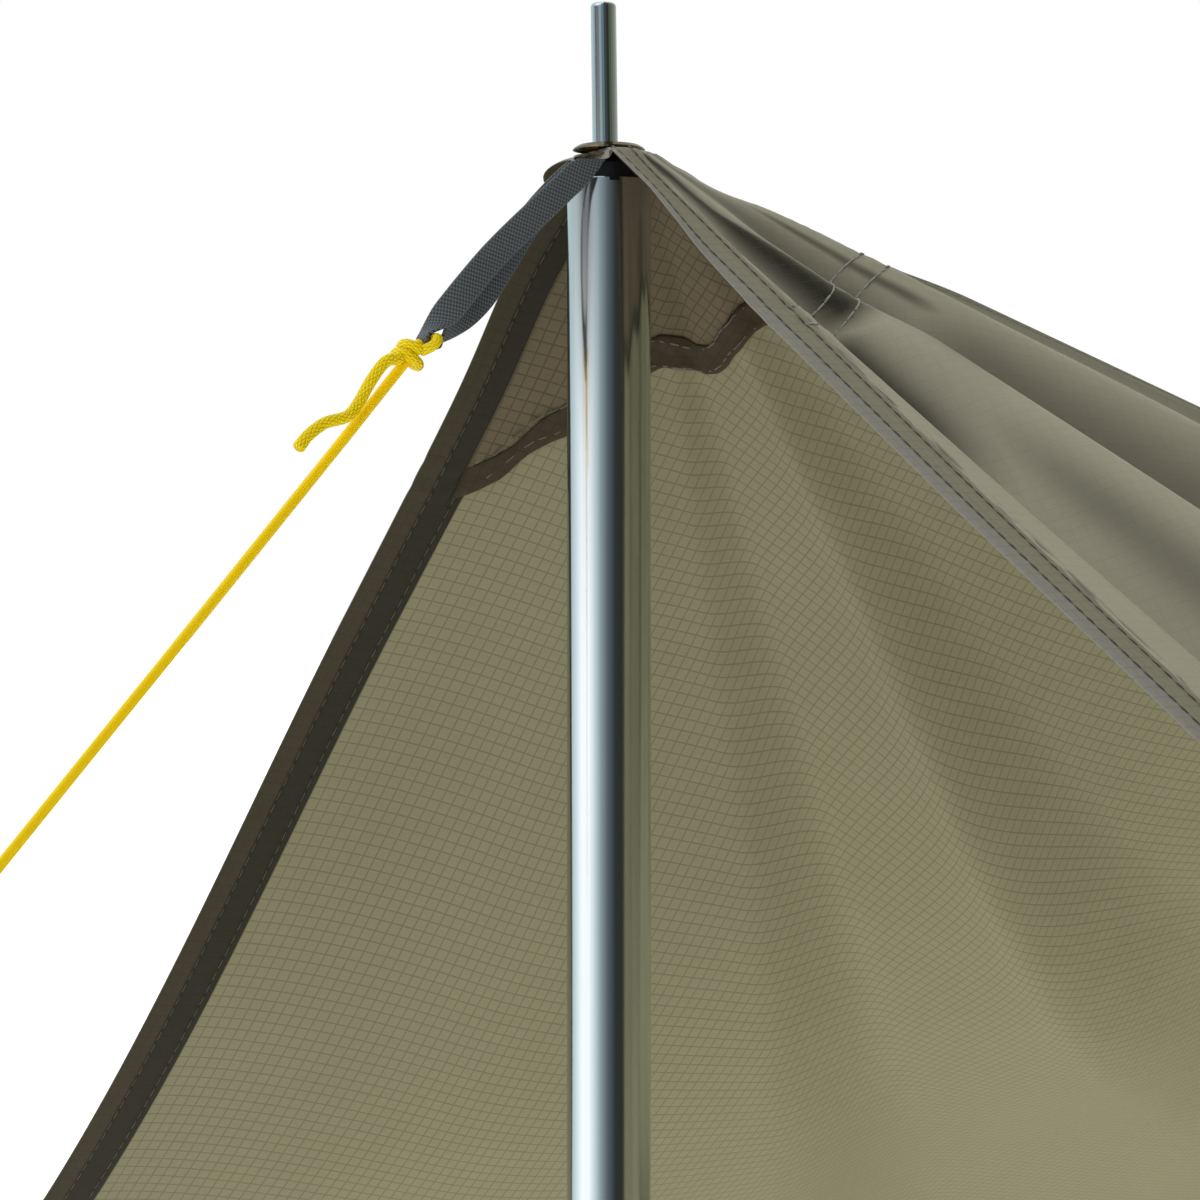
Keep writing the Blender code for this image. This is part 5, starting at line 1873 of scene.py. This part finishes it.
@dataclass
class Guyline:
    """Braided cord: the standing line, its tail, the eye, the knot and the end loop.

    Attributes:
        taut: Material of the stretched cord.
        slack: Material of the slack cord, whose grains stand out.
        tail_fullness: Radius of the slack tail over the taut cord's.
        cut_fullness: How much wider still its cut end frays.
        cut_places: Share of the tail where that starts, and over which it grows.
        knot_fullness: Radius of the knot's wraps over the taut cord's.
        knot_steps: Steps along the wraps.
        loop_gap: From the standing line's end to the end loop.
        loop_steps: Steps round the end loop.
        spacings: Distance between points on the standing line, the tail and the eye.
        sides: Faces round the long cords, round the eye and the knot, and round the end loop.
    """

    taut: bpy.types.Material
    slack: bpy.types.Material
    tail_fullness: float = 1.12
    cut_fullness: float = 0.06
    cut_places: tuple = (0.9, 0.1)
    knot_fullness: float = 1.1
    knot_steps: int = 90
    loop_gap: float = 0.3 * MM
    loop_steps: int = 64
    spacings: tuple = (3 * MM, 1.5 * MM, 0.8 * MM)
    sides: tuple = (24, 20, 16)

    def knot(self, away: np.ndarray, side: np.ndarray, up: np.ndarray) -> bpy.types.Object:
        """Wraps of the knot: a helix about the standing line.

        Args:
            away: Unit direction along the standing line.
            side: Unit direction square to it.
            up: Unit direction square to both.

        Returns:
            The wraps.
        """
        share = np.linspace(0, 1, self.knot_steps)
        turn = 2 * math.pi * KNOT_TURNS * share
        forward = (share - 0.5) * KNOT_TURNS * KNOT_PITCH * CORD_RADIUS
        wraps = (np.array(KNOT_CENTRE) * MM + away * forward[:, None]
                 + side * (KNOT_RADIUS * np.cos(turn))[:, None]
                 + up * (KNOT_RADIUS * np.sin(turn))[:, None])
        return tube("guyline_knot_wraps", wraps, CORD_RADIUS * self.knot_fullness, self.slack,
                    self.sides[1])

    def end_loop(self, end: np.ndarray, away: np.ndarray, up: np.ndarray) -> bpy.types.Object:
        """Ring of cord at the end of the standing line.

        Args:
            end: End of the standing line.
            away: Unit direction along it.
            up: Unit direction square to it.

        Returns:
            The ring.
        """
        middle = end + away * (END_LOOP_RADIUS + CORD_RADIUS + self.loop_gap)
        turn = np.linspace(0, 2 * math.pi, self.loop_steps, endpoint=False)[:, None]
        ring = (middle - away * (END_LOOP_RADIUS * np.cos(turn))
                + up * (END_LOOP_RADIUS * np.sin(turn)))
        return tube("guyline_end_ring", ring, CORD_RADIUS, self.slack, self.sides[2], closed=True)

    def fray(self, share: np.ndarray) -> np.ndarray:
        """Factor of the tail's radius at a share of its length."""
        start, over = self.cut_places
        return 1 + self.cut_fullness * smoothstep((share - start) / over)

    def build(self) -> None:
        frame = LoopFrame()
        line_spacing, tail_spacing, eye_spacing = self.spacings
        standing = route(np.array(STANDING_LINE) * MM, line_spacing)
        tail = route(np.array(TAIL_LINE) * MM, tail_spacing)
        line = tube("guyline_standing", standing, CORD_RADIUS, self.taut, self.sides[0])
        end = tube("guyline_tail_end", tail, CORD_RADIUS * self.tail_fullness, self.slack,
                   self.sides[0], swell=self.fray)
        eye_points = [frame.eye + (frame.side * x + frame.along * a + frame.across * b) * MM
                      for x, a, b in EYE_LINE]
        eye = tube("guyline_eye_cord", route(eye_points, eye_spacing), CORD_RADIUS, self.slack,
                   self.sides[1])
        away = unit(standing[1] - standing[0])
        up = np.cross(away, frame.side)
        knot = self.knot(away, frame.side, up)
        loop = self.end_loop(standing[-1], away, up)
        pieces = {"guyline": line, "guyline_tail": end, "guyline_eye": eye, "guyline_knot": knot,
                  "guyline_end_loop": loop}
        for node, piece in pieces.items():
            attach(piece, TARP)
            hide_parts(node)


class PoleFinishes:
    """Materials of the CAD solids that stay in view."""

    @staticmethod
    def build(nodes: dict) -> None:
        """Give each carried-over node its material.

        Args:
            nodes: The CAD nodes by name.
        """
        drawn = MetalFinish(Metal.ALUMINIUM).material()
        zinc = MetalFinish(Metal.ZINC).material()
        eyelet = MetalFinish(Metal.EYELET, upright=False).material()
        # Black plastic with its base darker than the plastic's own, as painted shade for the plug
        # in shadow under the eyelet; the bush, collar and lever share it.
        plastic = MouldedFinish("moulded_black", "0b0b0c", "1d1d1e", 0.5).material()
        rubber = MouldedFinish("foot_rubber_moulded", "161616", "3a3936", 0.7).material()
        choice = {
            "upper_tube": drawn, "outer_tube": drawn,
            "spike": zinc, "lock_screw": zinc, "lock_nut": zinc, "lever_pin": zinc,
            "eyelet_flange": eyelet, "eyelet_washer": eyelet,
            "spike_plug": plastic, "guide_bush": plastic, "lock_collar": plastic,
            "lock_lever": plastic, "foot_cap": rubber,
        }
        for name, material in choice.items():
            for slot in nodes[name].material_slots:
                slot.material = material
            LOG.info("%s: %s", name, material.name)


@dataclass(frozen=True)
class SoftBox:
    """Rectangular studio light.

    Attributes:
        name: Name of the light.
        place: Where it stands.
        target: What it points at.
        size: Width and height.
        power: Watts.
    """

    name: str
    place: tuple[float, float, float]
    target: tuple[float, float, float]
    size: tuple[float, float]
    power: float

    def build(self) -> None:
        """Hang the light."""
        lamp = bpy.data.lights.new(self.name, "AREA")
        lamp.shape = "RECTANGLE"
        lamp.size, lamp.size_y = self.size
        lamp.energy = self.power
        item = bpy.data.objects.new(self.name, lamp)
        item.location = self.place
        item.visible_camera = item.visible_glossy = False
        aim = Vector(self.target) - Vector(self.place)
        item.rotation_euler = aim.to_track_quat("-Z", "Y").to_euler()
        bpy.context.scene.collection.objects.link(item)


class Studio:
    """Camera, pale floor, white surroundings and soft lights.

    Attributes:
        LENS: Focal length and sensor width in millimetres.
        VIEWPOINT: Place of the camera.
        HEADING: Its turn about the vertical, in degrees.
        STRENGTH: Strength of the surroundings as a light.
        BANDS: Heading in degrees and colour of the surroundings, a lit wall on the left and a dim
            one in front.
        FLAG: A small dark flag in front of that wall: its heading, and the sines of its low end,
            of where it is widest and of its top.
        FLAG_WIDTHS: Its spread in degrees at its low end, and the gain up to where it is widest.
        FADE: From the pole to where the floor starts to turn white, and to where it is white.
        FLOOR: Half the side of the floor and its level.
    """

    LENS = (108.0, 36.0)
    VIEWPOINT = (1.046, -0.588, 1.1487)
    HEADING = 60.8
    STRENGTH = 1.6
    BANDS = (
        (-180, "a8b8b9"), (-145, "b8c6c8"), (-125, "dce6e8"), (-110, "ffffff"), (-86, "ffffff"),
        (-68, "c4d1d6"), (-52, "8a979b"), (-34, "565f63"), (-12, "2c3131"), (6, "2b2c26"),
        (22, "4a4a3c"), (80, "7c7d70"), (130, "b4b6ae"), (180, "a8b8b9"),
    )
    FLAG = (-98, 0.048, 0.11, 0.40)
    FLAG_WIDTHS = (6.0, 36.0)
    FADE = (3.0, 6.5)
    FLOOR = (90.0, -0.5 * MM)

    def camera(self) -> None:
        """Camera at the photograph's angle: level, from the front right of the pole."""
        lens = bpy.data.cameras.new("camera")
        lens.lens, lens.sensor_width = self.LENS
        lens.clip_start = 0.05
        lens.clip_end = 200.0
        item = bpy.data.objects.new("camera", lens)
        item.location = self.VIEWPOINT
        item.rotation_euler = (math.radians(90), 0.0, math.radians(self.HEADING))
        bpy.context.scene.collection.objects.link(item)
        bpy.context.scene.camera = item

    def surroundings(self) -> None:
        """World: plain white to the camera, and upright bands of light on everything else."""
        world = bpy.data.worlds.new("studio")
        world.use_nodes = True
        bpy.context.scene.world = world
        light = Formula(world.node_tree)
        back = world.node_tree.nodes["Background"]
        x, y, z = light.place("Generated")
        heading = light.math("ARCTAN2", y, x) * (180 / math.pi)
        bands = light.node("ShaderNodeValToRGB")
        light.feed(bands.inputs[0], (heading + 180.0) / 360.0)
        stops = bands.color_ramp.elements
        for turn, code in self.BANDS[1:-1]:
            stops.new((turn + 180) / 360).color = linear(code)
        stops[0].color, stops[-1].color = linear(self.BANDS[0][1]), linear(self.BANDS[-1][1])
        middle, low, high, top = self.FLAG
        height = (z - low) / (high - low)
        least, gain = self.FLAG_WIDTHS
        width = light.math("MINIMUM", height, 1.0) * gain + least
        flag = light.bell(heading, middle, width) * light.rise(height, 0.0, 0.4)
        flag = flag * (1.0 - light.rise(z, top * 0.75, top))
        colour = light.blend(flag * 0.95, bands.outputs[0], linear("1c2226"))
        seen = Term(light, light.node("ShaderNodeLightPath").outputs["Is Camera Ray"])
        light.feed(back.inputs["Color"], light.blend(seen, colour, WHITE))
        light.feed(back.inputs["Strength"], seen * (1.0 - self.STRENGTH) + self.STRENGTH)

    def floor(self) -> None:
        """Wide pale floor that fades to white far out."""
        ground = Surface("pale_floor", roughness=0.8)
        x, y = ground.solid_place()[:2]
        reach = ground.math("SQRT", x * x + y * y)
        far = ground.rise(reach, *self.FADE)
        speckle = ground.noise((3, 3, 3), "Object", 4.0)
        ground.paint(ground.blend(speckle, linear("e6e5e2"), linear("eeedeb")))
        ground.shader.inputs["Emission Color"].default_value = WHITE
        ground.feed(ground.shader.inputs["Emission Strength"], far)
        size, level = self.FLOOR
        turns = ((-1, -1), (1, -1), (1, 1), (-1, 1))
        corners = np.array([(x * size, y * size, level) for x, y in turns])
        item = publish("studio_floor", corners, [(0, 1, 2, 3)], None, [ground.material],
                       smooth=False)
        item.visible_glossy = False

    def lights(self) -> None:
        """Soft boxes round the pitch."""
        target = (0.0, 0.3, 0.9)
        for light in (
                SoftBox("overhead", (-0.6, 1.2, 4.2), target, (2.4, 2.4), 45.0),
                SoftBox("front_right", (3.2, -2.4, 2.2), target, (1.6, 2.2), 32.0),
                SoftBox("front_left", (-2.6, -2.6, 1.8), target, (1.4, 2.4), 30.0),
                SoftBox("rear_left", (-3.4, 2.2, 3.0), target, (2.4, 2.4), 40.0),
                SoftBox("under_cloth", (0.3, 0.9, 0.05), (0.3, 0.9, 1.0), (1.8, 1.8), 18.0)):
            light.build()

    def build(self) -> None:
        """Set the whole studio up."""
        self.camera()
        self.surroundings()
        self.floor()
        self.lights()


def main() -> None:
    """Load the frame, build the looks in order and note the sizes."""
    logging.basicConfig(level=logging.INFO, format="%(message)s")
    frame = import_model()
    scene = bpy.context.scene
    scene.view_settings.view_transform = "Standard"
    Studio().build()

    taut = BraidFinish("guyline_taut", "fbd800", "f3c200", 2.2 * MM, 12, 0.02 * MM).material()
    slack = BraidFinish("guyline_slack", "ffee00", "e0a600", 2.6 * MM, 10, 0.24 * MM).material()
    Guyline(taut, slack).build()

    # 1d1a12 is the colour of the painted shade in the weather cloth's folds and of its painted tuck
    # shadows.
    weather = RipstopFinish("ripstop_weather", "a8a28f", "9a9482", "6f6b5c", 0.06, 0.5,
                            painted_shade="1d1a12").material()
    # The inner face's grid is the ripstop's own pattern, drawn much darker than on the weather face
    # as painted shade of light shining through the cloth.
    inner = RipstopFinish("ripstop_inner", "938e72", "8a866a", "57523f", 0.42, 0.62).material()
    panels = ClothPanels(weather, inner).build()

    hem_out = HemFinish("hem_weather", "807b69", "85817a", "45423a", 0.12).material()
    hem_in = HemFinish("hem_inner", "38342b", "4a4334", "8a8574", 0.12).material()
    seam = HemFinish("seam_cloth", "7f7c6b", "7f7c6b", "57534a", 0.2, edged=False).material()
    thread = ThreadFinish("hem_thread", "45423a").material()
    light_thread = ThreadFinish("light_thread", "857f6d").material()
    dull_thread = ThreadFinish("dull_thread", "6b6553").material()
    hems = Hems(hem_out, hem_in, seam, thread, dull_thread).build()

    patch = RipstopFinish("patch_inner", "776b55", "6b604c", "3d3629", 0.5, 0.62).material()
    border = RipstopFinish("patch_border", "4b4234", "433b2e", "332d22", 0.3, 0.6).material()
    row_thread = ThreadFinish("row_thread", "b0ada0").material()
    patch_pieces = ApexPatch(patch, border, light_thread, row_thread).build()

    narrow = WebbingFinish("webbing_narrow", "6c7073", "25282b", APEX_LOOP_WIDTH).material()
    wide = WebbingFinish("webbing_wide", "6c7073", "25282b", PEG_LOOP_WIDTH).material()
    tack_thread = ThreadFinish("tack_thread", "3a3c3e").material()
    Webbing(narrow, wide, tack_thread).build()
    PoleFinishes.build(frame["nodes"])

    turn = np.linspace(0, 180, 181)
    patch_area = float(np.sum(patch_reach(turn) ** 2) / 2 * math.radians(1))

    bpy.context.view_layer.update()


if __name__ == "__main__":
    main()
